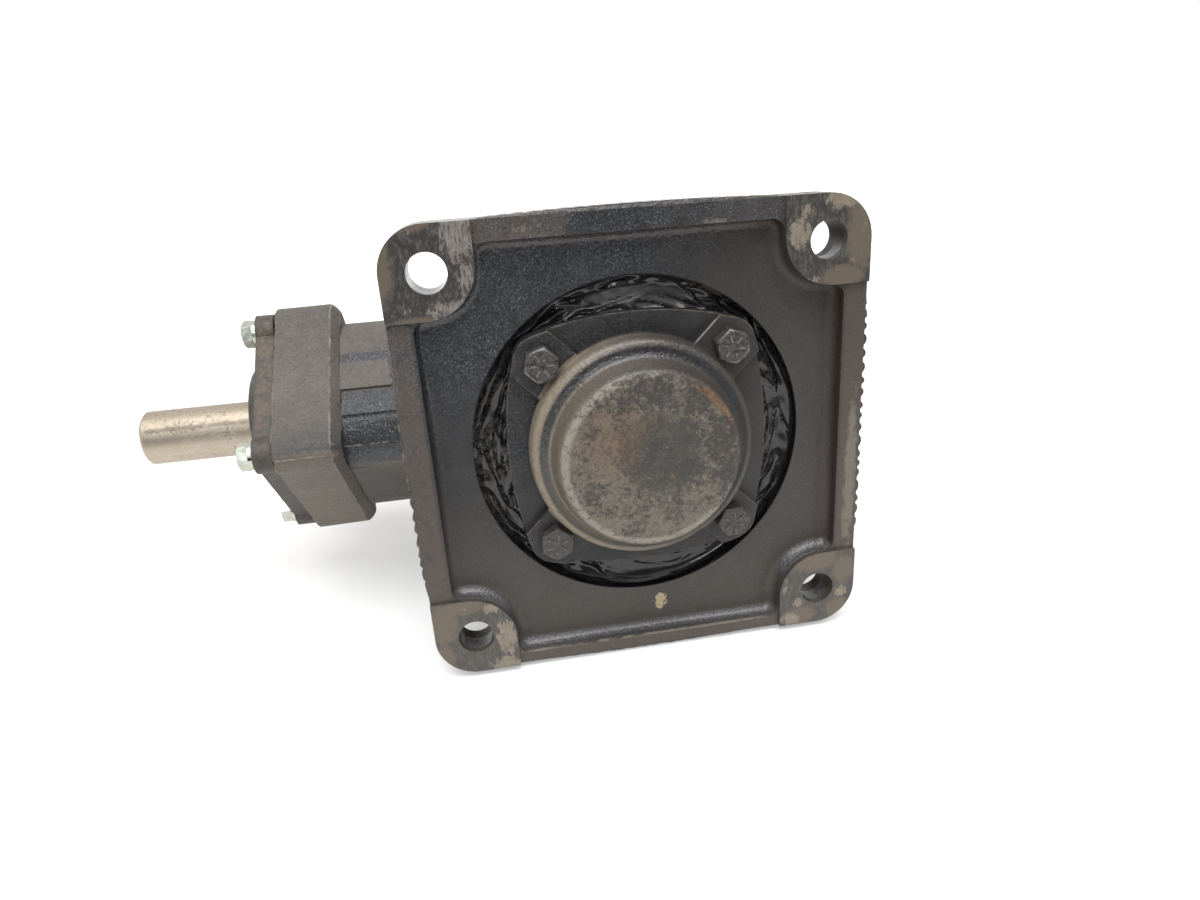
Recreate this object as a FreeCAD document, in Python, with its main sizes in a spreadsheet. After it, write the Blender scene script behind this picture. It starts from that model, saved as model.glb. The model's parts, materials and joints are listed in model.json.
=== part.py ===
"""Right angle bevel gearbox with a square mounting flange.

The flange stands upright and its machined pads face -Y. The origin is the centre of the four mounting
holes on the pad face, and the output axis runs along +Y through it. The input axis runs along -X and meets
the output axis at axis_depth behind the pads. All lengths are in millimetres.
"""
import FreeCAD, Part
import math
import os
import re
import Sketcher
from FreeCAD import Placement, Rotation, Vector

SIZES = {
    # Mounting flange: a square plate with four machined corner pads, a rim and a recessed field
    "flange_width": 187.0,
    "flange_corner": 17.5,
    "flange_thickness": 17.0,
    "hole_spacing": 152.4,
    "hole_diameter": 15.0,
    "pad_size": 34.6,
    "pad_round": 19.5,
    "pad_height": 1.8,
    "rim_side": 9.5,
    "rim_top": 8.0,
    "rim_bottom": 5.0,
    "field_depth": 9.1,
    "field_corner": 5.0,
    "field_fillet": 4.2,
    "flash_height": 1.6,
    "flash_width": 5.0,
    # Round opening in the flange, with the seat of the front cap at its floor
    "opening_diameter": 136.4,
    "cap_seat": 20.0,
    # Barrel of the case, closed in front by its bearing wall and open at the back
    "barrel_diameter": 164.0,
    "barrel_behind_axis": 50.2,
    "barrel_wall": 14.0,
    "cavity_front": 40.0,
    "axis_depth": 91.8,
    # Neck and input block, both square and standing on a corner
    "neck_flats": 75.0,
    "neck_round": 18.0,
    "neck_rib_width": 14.0,
    "neck_rib_height": 1.2,
    "block_flats": 84.0,
    "block_round": 8.8,
    "block_face": 153.3,
    "block_length": 28.8,
    "block_chamfer": 4.0,
    "pinion_clearance": 2.2,
    "pinion_relief": 6.0,
    "cup_shoulder": 4.0,
    # Front cap: a square plate with bulging sides, a boss under each bolt and a stepped dome
    "cap_bolt_spacing": 76.2,
    "cap_side": 54.4,
    "cap_side_radius": 150.0,
    "cap_corner": 10.5,
    "cap_plate": 10.5,
    "cap_boss_height": 4.0,
    "cap_boss_width": 23.0,
    "cap_spigot": 3.0,
    "dome_base_diameter": 92.6,
    "dome_shoulder_diameter": 90.6,
    "dome_shoulder_proud": 3.0,
    "dome_shoulder_round": 3.5,
    "dome_hollow_round": 3.8,
    "dome_drum_diameter": 76.8,
    "dome_face_diameter": 72.0,
    "dome_face_proud": 15.7,
    "dome_face_round": 4.5,
    "cap_ring_wall": 7.0,
    "dome_wall": 6.0,
    "sealant_depth": 3.0,
    # Rear cover: carries the rear output bearing and the output seal
    "cover_gasket": 0.8,
    "cover_plate": 11.2,
    "cover_boss_diameter": 94.0,
    "cover_boss_reach": 6.0,
    "cover_hub_diameter": 104.0,
    "cover_hub_length": 11.8,
    "cover_bolt_edge": 7.0,
    "cover_shaft_play": 4.0,
    "cover_web": 2.0,
    "cover_shoulder": 6.0,
    # Input cap: a plate with an ear at each bolt and a round seal boss
    "input_bolt_spacing": 63.5,
    "input_gasket": 0.5,
    "input_cap_thickness": 7.8,
    "input_cap_flats": 75.0,
    "input_ear_radius": 8.2,
    "input_boss_base": 64.0,
    "input_boss_diameter": 55.0,
    "input_boss_height": 6.1,
    "input_boss_round": 2.5,
    "input_shaft_play": 2.3,
    "input_spigot_wall": 4.0,
    "input_spigot_length": 3.5,
    # Hex bolts and split lock washers, the large size on the case and the small size on the input cap
    "bolt_diameter": 7.94,
    "bolt_flats": 12.7,
    "bolt_head": 5.4,
    "cap_bolt_length": 26.0,
    "cover_bolt_length": 27.0,
    "washer_diameter": 14.8,
    "washer_thickness": 2.0,
    "small_bolt_diameter": 6.35,
    "small_bolt_flats": 11.11,
    "small_bolt_head": 4.8,
    "input_bolt_length": 25.0,
    "small_washer_diameter": 12.2,
    "small_washer_thickness": 2.2,
    "washer_split": 1.2,
    "bolt_play": 0.4,
    # Input shaft
    "shaft_diameter": 25.4,
    "seal_land_step": 0.3,
    "seal_land_reach": 0.5,
    "shaft_extension": 53.0,
    "shaft_chamfer": 1.2,
    "pinion_seat": 28.0,
    "shaft_nose_length": 2.93,
    "thread_runout": 1.3,
    "keyway_width": 6.35,
    "keyway_depth": 3.2,
    "keyway_length": 38.0,
    # Output shaft
    "output_diameter": 38.1,
    "output_extension": 67.5,
    "output_chamfer": 1.6,
    "output_nose_length": 1.0,
    "gear_seat": 44.0,
    "collar_diameter": 56.0,
    "collar_width": 8.0,
    "waist_diameter": 48.0,
    "rear_journal_inset": 14.0,
    "output_keyway_width": 9.53,
    "output_keyway_depth": 4.8,
    "output_keyway_length": 48.0,
    # Straight bevel gears with long and short addendum, in multiples of the module
    "gear_module": 4.0,
    "pinion_teeth": 15,
    "gear_teeth": 30,
    "face_width": 20.0,
    "pressure_angle": 20.0,
    "pinion_addendum": 1.2,
    "gear_addendum": 0.8,
    "tip_clearance": 0.25,
    "tooth_backlash": 0.5,
    "root_overhang": 0.6,
    "pinion_hub_diameter": 46.0,
    "pinion_hub_length": 14.12,
    "pinion_nose": 1.9,
    "gear_hub_diameter": 76.0,
    "gear_nose": 2.7,
    "gear_spacer_width": 3.0,
    "gear_spacer_wall": 5.2,
    "pinion_key_width": 8.0,
    "pinion_key_height": 7.0,
    "pinion_key_inset": 2.0,
    "pinion_key_margin": 8.45,
    "gear_key_width": 12.0,
    "gear_key_height": 8.0,
    "gear_key_inset": 2.03,
    "ring_thickness": 1.6,
    "ring_depth": 1.2,
    "ring_outer": 33.0,
    # Tapered roller bearings of the output shaft, then of the input shaft
    "roller_tilt": 12.0,
    "roller_play": 0.04,
    "rib_play": 0.3,
    "cage_thickness": 1.2,
    "cage_overhang": 1.5,
    "cage_play": 0.25,
    "output_bearing_bore": 40.0,
    "output_bearing_outer": 80.0,
    "output_bearing_width": 19.75,
    "output_cone_width": 18.0,
    "output_cup_width": 16.0,
    "output_pitch_diameter": 60.4,
    "output_roller_diameter": 10.0,
    "output_roller_length": 12.0,
    "output_roller_middle": 9.5,
    "output_roller_count": 15,
    "output_rib_height": 2.4,
    "input_bearing_bore": 30.0,
    "input_bearing_outer": 62.0,
    "input_bearing_width": 17.25,
    "input_cone_width": 16.0,
    "input_cup_width": 14.0,
    "input_pitch_diameter": 46.4,
    "input_roller_diameter": 8.2,
    "input_roller_length": 10.0,
    "input_roller_middle": 8.3,
    "input_roller_count": 14,
    "input_rib_height": 2.0,
    "outer_bearing_inset": 11.8,
    # Locknut with its tab washer, seals and oil plugs
    "tab_washer_thickness": 1.2,
    "tab_washer_diameter": 42.0,
    "locknut_diameter": 44.0,
    "locknut_width": 7.0,
    "locknut_slot_width": 5.0,
    "locknut_slot_depth": 2.0,
    "input_seal_outer": 40.0,
    "input_seal_width": 7.0,
    "input_seal_sunk": 0.5,
    "output_seal_outer": 62.0,
    "output_seal_width": 8.0,
    "seal_wall": 2.0,
    "seal_web": 2.2,
    "seal_lip": 3.2,
    "seal_play": 0.05,
    "garter_wire": 1.6,
    "plug_diameter": 17.2,
    "plug_length": 12.0,
    "plug_socket_flats": 8.0,
    "plug_socket_depth": 6.0,
    "plug_sunk": 1.5,
    "plug_spotface": 26.0,
    "plug_behind_axis": 8.2,
}

# Sizes that follow from the others
FOLLOWING = {
    "case_back": "axis_depth + barrel_behind_axis",
    "block_back": "block_face - block_length",
    "outer_bearing_back": "block_face - outer_bearing_inset",
    "shaft_reach": "block_face + input_gasket + input_cap_thickness + input_boss_height + seal_land_reach"
                   " + shaft_extension",
    "rear_journal": "case_back - rear_journal_inset",
    "output_reach": "case_back + cover_gasket + cover_plate + cover_boss_reach + seal_land_reach"
                    " + output_extension",
    "output_nose": "cap_seat + cap_spigot - output_nose_length",
    "plug_depth": "axis_depth + plug_behind_axis",
    "cavity_diameter": "barrel_diameter - 2 * barrel_wall",
    "plug_face": "barrel_diameter / 2 - plug_sunk",
    "tooth_diagonal": "sqrt(pinion_teeth ^ 2 + gear_teeth ^ 2)",
    "small_end_share": "1 - 2 * face_width / gear_module / tooth_diagonal",
    "pinion_dedendum": "gear_module * (gear_addendum + tip_clearance)",
    "gear_dedendum": "gear_module * (pinion_addendum + tip_clearance)",
    "pinion_root_place": "gear_module * gear_teeth / 2 + pinion_dedendum * pinion_teeth / tooth_diagonal",
    "gear_root_place": "gear_module * pinion_teeth / 2 + gear_dedendum * gear_teeth / tooth_diagonal",
    "pinion_front": "pinion_root_place * small_end_share - pinion_nose",
    "pinion_back": "pinion_root_place + pinion_hub_length",
    "pinion_key_length": "pinion_back - pinion_front - pinion_key_inset - pinion_key_margin",
    "shaft_nose": "pinion_front - ring_thickness - shaft_nose_length",
    "gear_front": "gear_root_place * small_end_share - gear_nose",
    "front_bearing_back": "cap_seat + cap_spigot + output_bearing_width",
    "gear_hub_back": "axis_depth - front_bearing_back - gear_spacer_width",
    "gear_key_length": "gear_hub_back - gear_front - 2 * gear_key_inset",
    "pinion_tip_radius": "gear_module * (pinion_teeth / 2 + pinion_addendum * gear_teeth / tooth_diagonal)",
    "output_rib_width": "output_roller_middle - output_roller_length / 2 * cos(roller_tilt * 1deg)"
                        " - output_roller_diameter * 0.55 * sin(roller_tilt * 1deg) - rib_play",
    "input_rib_width": "input_roller_middle - input_roller_length / 2 * cos(roller_tilt * 1deg)"
                       " - input_roller_diameter * 0.55 * sin(roller_tilt * 1deg) - rib_play",
}

ALONG_Z = Rotation()
AGAINST_Z = Rotation(Vector(1, 0, 0), 180)
ALONG_Y = Rotation(Vector(1, 0, 0), -90)
AGAINST_Y = Rotation(Vector(1, 0, 0), 90)
ALONG_X = Rotation(Vector(0, 1, 0), 90)
AGAINST_X = Rotation(Vector(0, 1, 0), -90)
ON_CORNER = Rotation(Vector(1, 0, 0), 45)
CORNERS = ((-1, 1), (1, 1), (1, -1), (-1, -1))
# A tool reaches this far past the face it cuts through
OVERRUN = 1.0
# Turns of each head and washer about its own bolt, as a first turn and a step in degrees
COVER_BOLT_TURN = (11, 19)
COVER_WASHER_TURN = (0, 40)
INPUT_BOLT_TURN = (12, 17)
INPUT_WASHER_TURN = (200, 70)

doc = FreeCAD.newDocument("right_angle_gearbox")
sheet = doc.addObject("Spreadsheet::Sheet", "sizes")
cells = [(alias, str(value)) for alias, value in SIZES.items()]
cells += [(alias, "=" + formula) for alias, formula in FOLLOWING.items()]
for row, (alias, content) in enumerate(cells, start=1):
    sheet.set("A%d" % row, alias)
    sheet.setAlias("B%d" % row, alias)
for row, (alias, content) in enumerate(cells, start=1):
    sheet.set("B%d" % row, content)
doc.recompute()
nodes = []


def size(alias):
    """The number that the sheet holds under a name."""
    return float(sheet.get(alias))


def rule(text):
    """An expression in which every size is read from the sheet."""
    def qualify(word):
        known = word.group() in SIZES or word.group() in FOLLOWING
        return "sizes." + word.group() if known else word.group()
    return re.sub(r"[a-z]\w*", qualify, text)


def bind(item, prop, text):
    item.setExpression(prop, rule(text))


def solid(kind, label, place, turn=Rotation(), **sizes):
    """A Part primitive whose sizes and place follow the sheet."""
    item = doc.addObject("Part::" + kind, label)
    item.Placement = Placement(Vector(), turn)
    for prop, text in sizes.items():
        bind(item, prop, text)
    for letter, text in zip("xyz", place):
        bind(item, "Placement.Base." + letter, text)
    return item


def span(start, end):
    return "(%s) - (%s)" % (end, start)


def past(place):
    """A place a little beyond another, for a tool that must cut through."""
    return "%s + %r" % (place, OVERRUN)


def before(place):
    return "%s - %r" % (place, OVERRUN)


def cylinder_y(label, radius, start, end, x="0", z="0"):
    """A cylinder parallel to the output axis, between two distances behind the pads."""
    return solid("Cylinder", label, (x, start, z), ALONG_Y, Radius=radius, Height=span(start, end))


def cylinder_x(label, radius, start, end, y="axis_depth", z="0"):
    """A cylinder along the input axis, between two distances out from the output axis."""
    place = ("-(%s)" % start, y, z)
    return solid("Cylinder", label, place, AGAINST_X, Radius=radius, Height=span(start, end))


def block_y(label, width, height, start, end, x="0", z="0"):
    """A box centred on a line along Y."""
    place = ("%s - (%s) / 2" % (x, width), start, "%s - (%s) / 2" % (z, height))
    return solid("Box", label, place, Length=width, Width=span(start, end), Height=height)


def diamond_x(label, flats, start, end):
    """A square bar on the input axis that stands on one edge."""
    place = ("-(%s)" % end, "axis_depth", "-(%s) * cos(45deg)" % flats)
    return solid("Box", label, place, ON_CORNER, Length=span(start, end), Width=flats, Height=flats)


def fuse(label, items):
    item = doc.addObject("Part::MultiFuse", label)
    item.Shapes = items
    item.Refine = True
    return item


def cut(label, base, tools):
    item = doc.addObject("Part::Cut", label)
    item.Base = base
    item.Tool = tools[0] if len(tools) == 1 else fuse(label + "_tools", tools)
    item.Refine = True
    return item


def group(label, items):
    item = doc.addObject("Part::Compound", label)
    item.Links = items
    return item


def common(label, items):
    item = doc.addObject("Part::MultiCommon", label)
    item.Shapes = items
    item.Refine = True
    return item


def edged(kind, label, base, alias, chosen):
    """A Part fillet or chamfer on the edges that chosen accepts."""
    doc.recompute()
    item = doc.addObject("Part::" + kind, label)
    item.Base = base
    amount = size(alias)
    edges = enumerate(base.Shape.Edges, start=1)
    item.Edges = [(number, amount, amount) for number, edge in edges if chosen(edge)]
    return item


def near(first, second):
    return abs(first - second) < 0.01


def runs_along(edge, axis):
    """Whether an edge is straight and parallel to an axis."""
    if not isinstance(edge.Curve, Part.Line):
        return False
    return abs(edge.Curve.Direction.dot(axis)) > 0.999


def outline(body, points, label):
    """A closed polygon in the body's XY plane whose corners follow the sheet."""
    sketch = body.newObject("Sketcher::SketchObject", label)
    plane = [item for item in body.Origin.OriginFeatures if item.Role == "XY_Plane"][0]
    sketch.AttachmentSupport = (plane, "")
    sketch.MapMode = "FlatFace"
    count = len(points)
    turns = [2 * math.pi * number / count for number in range(count)]
    start = [Vector(math.cos(turn), math.sin(turn), 0) for turn in turns]
    for number in range(count):
        sketch.addGeometry(Part.LineSegment(start[number], start[(number + 1) % count]))
    for number in range(count):
        sketch.addConstraint(Sketcher.Constraint("Coincident", number, 2, (number + 1) % count, 1))
    for number, (across, along) in enumerate(points):
        first = start[number]
        for kind, text, value in (("DistanceX", across, first.x), ("DistanceY", along, first.y)):
            index = sketch.addConstraint(Sketcher.Constraint(kind, -1, 1, number, 1, value))
            sketch.setExpression("Constraints[%d]" % index, rule(text))
    return sketch


def turned(label, points, axis):
    """A body turned about the output axis or the input axis; a point is an axial place and a radius.

    Places on the output axis count along +Y from the pads, and on the input axis outward along -X.
    """
    body = doc.addObject("PartDesign::Body", label)
    if axis == "output":
        corners = [(radius, place) for place, radius in points]
    else:
        corners = [("-(%s)" % place, radius) for place, radius in points]
        bind(body, "Placement.Base.y", "axis_depth")
    sketch = outline(body, corners, label + "_outline")
    turning = body.newObject("PartDesign::Revolution", label + "_turning")
    turning.Profile = sketch
    turning.ReferenceAxis = (sketch, ["V_Axis" if axis == "output" else "H_Axis"])
    turning.Angle = 360
    body.Tip = turning
    return body


def node(label, item):
    """Marks an object as a finished sub-part under its own name."""
    item.Label = label
    nodes.append(item)
    return item


def square_places(spacing):
    """Corner places of a square on the output axis, as expressions."""
    half = "(%s) / 2" % spacing
    return [("%d * %s" % (side, half), "%d * %s" % (rise, half)) for side, rise in CORNERS]


def circle_places(diameter, count):
    """Places round the output axis, as expressions."""
    turns = [360.0 * (number + 0.5) / count for number in range(count)]
    return [("(%s) / 2 * cos(%rdeg)" % (diameter, turn), "(%s) / 2 * sin(%rdeg)" % (diameter, turn))
            for turn in turns]


def diamond_places(spacing):
    """Corner places of a square that stands on its corner on the input axis, as expressions."""
    reach = "(%s) * sqrt(0.5)" % spacing
    return [("axis_depth", reach), ("axis_depth - " + reach, "0"), ("axis_depth", "-" + reach),
            ("axis_depth + " + reach, "0")]


def hexagon_bar(label, place, turn, flats, height):
    item = solid("Prism", label, place, turn, Circumradius=flats + " / 2 / cos(30deg)", Height=height)
    item.Polygon = 6
    return item


def step_turn(turn, number):
    """Turn of one bolt or washer of a set, from the set's first turn and step."""
    return turn[0] + turn[1] * number


def hex_bolt(label, place, outward, inward, size_name, length, turn):
    """A hex bolt whose head stands outward from place and whose shank runs inward."""
    flats = size_name + "_flats"
    head = size_name + "_head"
    radius = size_name + "_diameter / 2"
    spun = outward * Rotation(Vector(0, 0, 1), turn)
    hexagon = hexagon_bar(label + "_hexagon", place, spun, flats, head)
    top = flats + " * 0.475"
    base = "%s + %s / tan(30deg)" % (top, head)
    crown = solid("Cone", label + "_crown", place, outward, Radius1=base, Radius2=top, Height=head)
    topped = common(label + "_head", [hexagon, crown])
    shank = solid("Cylinder", label + "_shank", place, inward, Radius=radius, Height=length)
    return fuse(label, [topped, shank])


def lock_washer(label, place, outward, size_name, bolt_name, turn):
    """A split ring that stands outward from place."""
    thick = size_name + "_thickness"
    width = size_name + "_diameter"
    inside = bolt_name + "_diameter / 2 + bolt_play / 2"
    spun = outward * Rotation(Vector(0, 0, 1), turn)
    disc = solid("Cylinder", label + "_disc", place, outward, Radius=width + " / 2", Height=thick)
    hole = solid("Cylinder", label + "_hole", place, outward, Radius=inside, Height=thick)
    split = solid("Box", label + "_split", place, spun, Length=width, Width="washer_split", Height=thick)
    return cut(label, disc, [hole, split])


# Gear case: flange plate with pads and field


def across_flange(edge):
    return runs_along(edge, Vector(0, 1, 0))


def along_input(edge):
    return runs_along(edge, Vector(1, 0, 0))


pad_middle = "(flange_width / 2 - pad_size / 2)"
plate = block_y("case_plate", "flange_width", "flange_width", "pad_height", "flange_thickness")
plate = edged("Fillet", "case_plate_rounded", plate, "flange_corner", across_flange)


def corner_block(label, side, rise):
    """A pad with what is under it: the flange's own corner outside, a larger round towards the field."""
    x = "%d * %s" % (side, pad_middle)
    z = "%d * %s" % (rise, pad_middle)
    block = block_y(label, "pad_size", "pad_size", "0", "flange_thickness", x, z)
    outer = size("flange_width") / 2
    inner = outer - size("pad_size")

    def at_corner(reach):
        def chosen(edge):
            spot = edge.CenterOfMass
            return across_flange(edge) and near(spot.x, side * reach) and near(spot.z, rise * reach)
        return chosen

    block = edged("Fillet", label + "_outer", block, "flange_corner", at_corner(outer))
    return edged("Fillet", label + "_inner", block, "pad_round", at_corner(inner))


pads = []
columns = []
for number, (side, rise) in enumerate(CORNERS):
    pads.append(corner_block("case_pad_%d" % number, side, rise))
    columns.append(corner_block("field_corner_%d" % number, side, rise))
field_width = "(flange_width - 2 * rim_side)"
field_height = "(flange_width - rim_top - rim_bottom)"
field = block_y("field_square", field_width, field_height, before("pad_height"), "field_depth",
                z="(rim_bottom - rim_top) / 2")
field = cut("field_cross", field, columns)


def field_corner_edge(edge):
    spot = edge.CenterOfMass
    half = size("flange_width") / 2
    beside = near(abs(spot.x), half - size("rim_side"))
    above = near(spot.z, half - size("rim_top"))
    below = near(spot.z, size("rim_bottom") - half)
    return across_flange(edge) and (beside or above or below)


def field_floor_edge(edge):
    return all(near(point.Point.y, size("field_depth")) for point in edge.Vertexes)


field = edged("Fillet", "field_cornered", field, "field_corner", field_corner_edge)
field = edged("Fillet", "field_filleted", field, "field_fillet", field_floor_edge)

# Gear case: casting flash along the parting line, between the pads

flash_length = "(flange_width - 2 * pad_size - flash_width)"
flash_reach = "(flange_width + 2 * flash_height)"
flash_front = "(pad_height + flash_width)"
flash_back = "(pad_height + 2 * flash_width)"
flash = [block_y("case_flash_upright", flash_length, flash_reach, flash_front, flash_back),
         block_y("case_flash_level", flash_reach, flash_length, flash_front, flash_back)]

# Gear case: barrel, neck and input block

barrel = cylinder_y("case_barrel", "barrel_diameter / 2", "(field_depth + flange_thickness) / 2", "case_back")
neck_start = "cavity_diameter / 4"
neck_end = "(block_back + block_chamfer)"
neck = diamond_x("case_neck", "neck_flats", neck_start, neck_end)
neck = edged("Fillet", "case_neck_rounded", neck, "neck_round", along_input)
ribs = []
for name, way in (("front", 1), ("back", -1)):
    place = ("-" + neck_end, "axis_depth - neck_rib_width / 2 * cos(45deg)",
             "%d * neck_rib_width / 2 * sin(45deg)" % -way)
    ribs.append(solid("Box", "case_rib_" + name, place, Rotation(Vector(1, 0, 0), 45 * way),
                      Length=span(neck_start, neck_end), Width="neck_rib_width",
                      Height="neck_flats / 2 + neck_rib_height"))
block = diamond_x("case_block", "block_flats", "block_back", "block_face")
block = edged("Fillet", "case_block_rounded", block, "block_round", along_input)


def block_rear_edge(edge):
    return all(near(point.Point.x, -size("block_back")) for point in edge.Vertexes)


block = edged("Chamfer", "case_block_sloped", block, "block_chamfer", block_rear_edge)
flange = cut("case_flange", fuse("case_plate_and_pads", [plate] + pads + flash), [field])
casting = fuse("case_casting", [flange, barrel, neck, block] + ribs)

# Gear case: opening, bores and bolt holes

inner_bearing_back = "pinion_back"
inner_cup_back = "(pinion_back + input_bearing_width)"
outer_cup_back = "(outer_bearing_back - input_bearing_width)"
input_bore = "input_bearing_outer / 2"
bores = [
    cylinder_y("bore_opening", "opening_diameter / 2", "0", "cap_seat"),
    cylinder_y("bore_front_bearing", "output_bearing_outer / 2", before("cap_seat"), past("cavity_front")),
    cylinder_y("bore_cavity", "cavity_diameter / 2", "cavity_front", past("case_back")),
    cylinder_x("bore_quill", input_bore + " - cup_shoulder", "cavity_diameter / 4", past("block_face")),
    cylinder_x("bore_outer_bearing", input_bore, outer_cup_back, past("block_face")),
    cylinder_x("bore_inner_bearing", input_bore, "cavity_diameter / 4", inner_cup_back),
    cylinder_x("bore_pinion", "pinion_tip_radius + pinion_clearance", "cavity_diameter / 4",
               "pinion_root_place + pinion_relief - pinion_clearance"),
]
cap_boss_face = "(cap_seat - cap_plate - cap_boss_height)"
for number, (x, z) in enumerate(square_places("hole_spacing")):
    bores.append(cylinder_y("mount_hole_%d" % number, "hole_diameter / 2", before("0"),
                            past("flange_thickness"), x, z))
for number, (x, z) in enumerate(square_places("cap_bolt_spacing")):
    bores.append(cylinder_y("cap_thread_%d" % number, "bolt_diameter / 2", before("cap_seat"),
                            cap_boss_face + " + cap_bolt_length", x, z))
cover_bolt_count = 8
cover_bolt_circle = "(barrel_diameter - 2 * cover_bolt_edge)"
cover_face = "(case_back + cover_gasket + cover_plate)"
for number, (x, z) in enumerate(circle_places(cover_bolt_circle, cover_bolt_count)):
    bores.append(cylinder_y("cover_thread_%d" % number, "bolt_diameter / 2",
                            cover_face + " + washer_thickness - cover_bolt_length", past("case_back"), x, z))
input_cap_face = "(block_face + input_gasket + input_cap_thickness)"
for number, (y, z) in enumerate(diamond_places("input_bolt_spacing")):
    bores.append(cylinder_x("input_thread_%d" % number, "small_bolt_diameter / 2",
                            input_cap_face + " + small_washer_thickness - input_bolt_length",
                            past("block_face"), y, z))

# Oil plugs: fill on top, level at the side away from the input, drain below


def plug_place(side, rise, radius):
    return ("%d * (%s)" % (side, radius), "plug_depth", "%d * (%s)" % (rise, radius))


plugs = []
ports = (("fill", ALONG_Z, 0, 1), ("level", ALONG_X, 1, 0), ("drain", AGAINST_Z, 0, -1))
for name, outward, side, rise in ports:
    inside = plug_place(side, rise, "cavity_diameter / 4")
    seat = plug_place(side, rise, "plug_face - plug_length")
    face = plug_place(side, rise, "plug_face")
    floor = plug_place(side, rise, "plug_face - plug_socket_depth")
    radius = "plug_diameter / 2"
    bores.append(solid("Cylinder", name + "_port", inside, outward, Radius=radius,
                       Height="plug_face - cavity_diameter / 4"))
    bores.append(solid("Cylinder", name + "_spotface", face, outward, Radius="plug_spotface / 2",
                       Height="barrel_diameter / 2"))
    stud = solid("Cylinder", name + "_stud", seat, outward, Radius=radius, Height="plug_length")
    socket = hexagon_bar(name + "_socket", floor, outward, "plug_socket_flats", past("plug_socket_depth"))
    plugs.append(cut(name + "_plug", stud, [socket]))
node("oil_plugs", group("oil_plug_set", plugs))
node("gear_case", cut("case_machined", casting, bores))

# Front cap


def cap_outline(label, start, end):
    """The cap's plate: a square whose sides bulge on a large radius, with rounded corners."""
    middle = "(cap_side_radius - cap_side)"
    sides = []
    for name, x, z in (("left", 1, 0), ("right", -1, 0), ("lower", 0, 1), ("upper", 0, -1)):
        sides.append(cylinder_y("%s_%s" % (label, name), "cap_side_radius", start, end,
                                "%d * %s" % (x, middle), "%d * %s" % (z, middle)))
    return edged("Fillet", label, common(label + "_square", sides), "cap_corner", across_flange)


cap_plate_face = "(cap_seat - cap_plate)"
cap_plate = cap_outline("front_cap_plate", cap_plate_face, "cap_seat")
boss_outline = cap_outline("front_cap_boss_outline", cap_boss_face, "cap_seat")
boss_bars = []
for turn in (45, 135):
    along = "opening_diameter / 2 * %s(%ddeg)"
    aside = "cap_boss_width / 2 * %s(%ddeg)"
    place = ("-%s - %s" % (along % ("cos", turn), aside % ("sin", turn)), cap_boss_face,
             "%s - %s" % (along % ("sin", turn), aside % ("cos", turn)))
    boss_bars.append(solid("Box", "front_cap_bar_%d" % turn, place, Rotation(Vector(0, 1, 0), turn),
                           Length="opening_diameter", Width="cap_plate + cap_boss_height",
                           Height="cap_boss_width"))
bosses = common("front_cap_bosses", [boss_outline, fuse("front_cap_cross", boss_bars)])
shoulder = "-dome_shoulder_proud"
dome = turned("front_cap_dome", [
    ("cap_seat", "0"),
    ("cap_seat", "dome_base_diameter / 2"),
    (cap_plate_face, "dome_base_diameter / 2"),
    (shoulder, "dome_shoulder_diameter / 2"),
    (shoulder, "dome_drum_diameter / 2"),
    ("-dome_face_proud", "dome_face_diameter / 2"),
    ("-dome_face_proud", "0"),
], "output")


def dome_edge(place, diameter):
    def chosen(edge):
        round_edge = isinstance(edge.Curve, Part.Circle) and near(edge.Curve.Radius, size(diameter) / 2)
        return round_edge and near(edge.Curve.Center.y, -size(place))
    return chosen


dome = edged("Fillet", "front_cap_shoulder", dome, "dome_shoulder_round",
             dome_edge("dome_shoulder_proud", "dome_shoulder_diameter"))
dome = edged("Fillet", "front_cap_groove", dome, "dome_hollow_round",
             dome_edge("dome_shoulder_proud", "dome_drum_diameter"))
dome = edged("Fillet", "front_cap_crown", dome, "dome_face_round",
             dome_edge("dome_face_proud", "dome_face_diameter"))
spigot = cylinder_y("front_cap_spigot", "output_bearing_outer / 2", "cap_seat", "cap_seat + cap_spigot")
cap_tools = [cylinder_y("front_cap_hollow", "output_bearing_outer / 2 - cap_ring_wall",
                        "dome_wall - dome_face_proud", past("cap_seat + cap_spigot"))]
cap_bolts = []
for number, (x, z) in enumerate(square_places("cap_bolt_spacing")):
    cap_tools.append(cylinder_y("front_cap_hole_%d" % number, "bolt_diameter / 2 + bolt_play / 2",
                                before(cap_boss_face), past("cap_seat"), x, z))
    cap_bolts.append(hex_bolt("front_cap_bolt_%d" % number, (x, cap_boss_face, z), AGAINST_Y, ALONG_Y, "bolt",
                              "cap_bolt_length", 17 + 23 * number))
cap_blank = fuse("front_cap_blank", [cap_plate, bosses, dome, spigot])
node("front_cap", cut("front_cap_drilled", cap_blank, cap_tools))
node("front_cap_bolts", group("front_cap_bolt_set", cap_bolts))
bead = cylinder_y("sealant_ring", "opening_diameter / 2", "cap_seat - sealant_depth", "cap_seat")
bead_inside = cap_outline("sealant_inside", cap_plate_face, "cap_seat")
node("front_cap_sealant", cut("sealant_bead", bead, [bead_inside]))

# Rear cover

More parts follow.
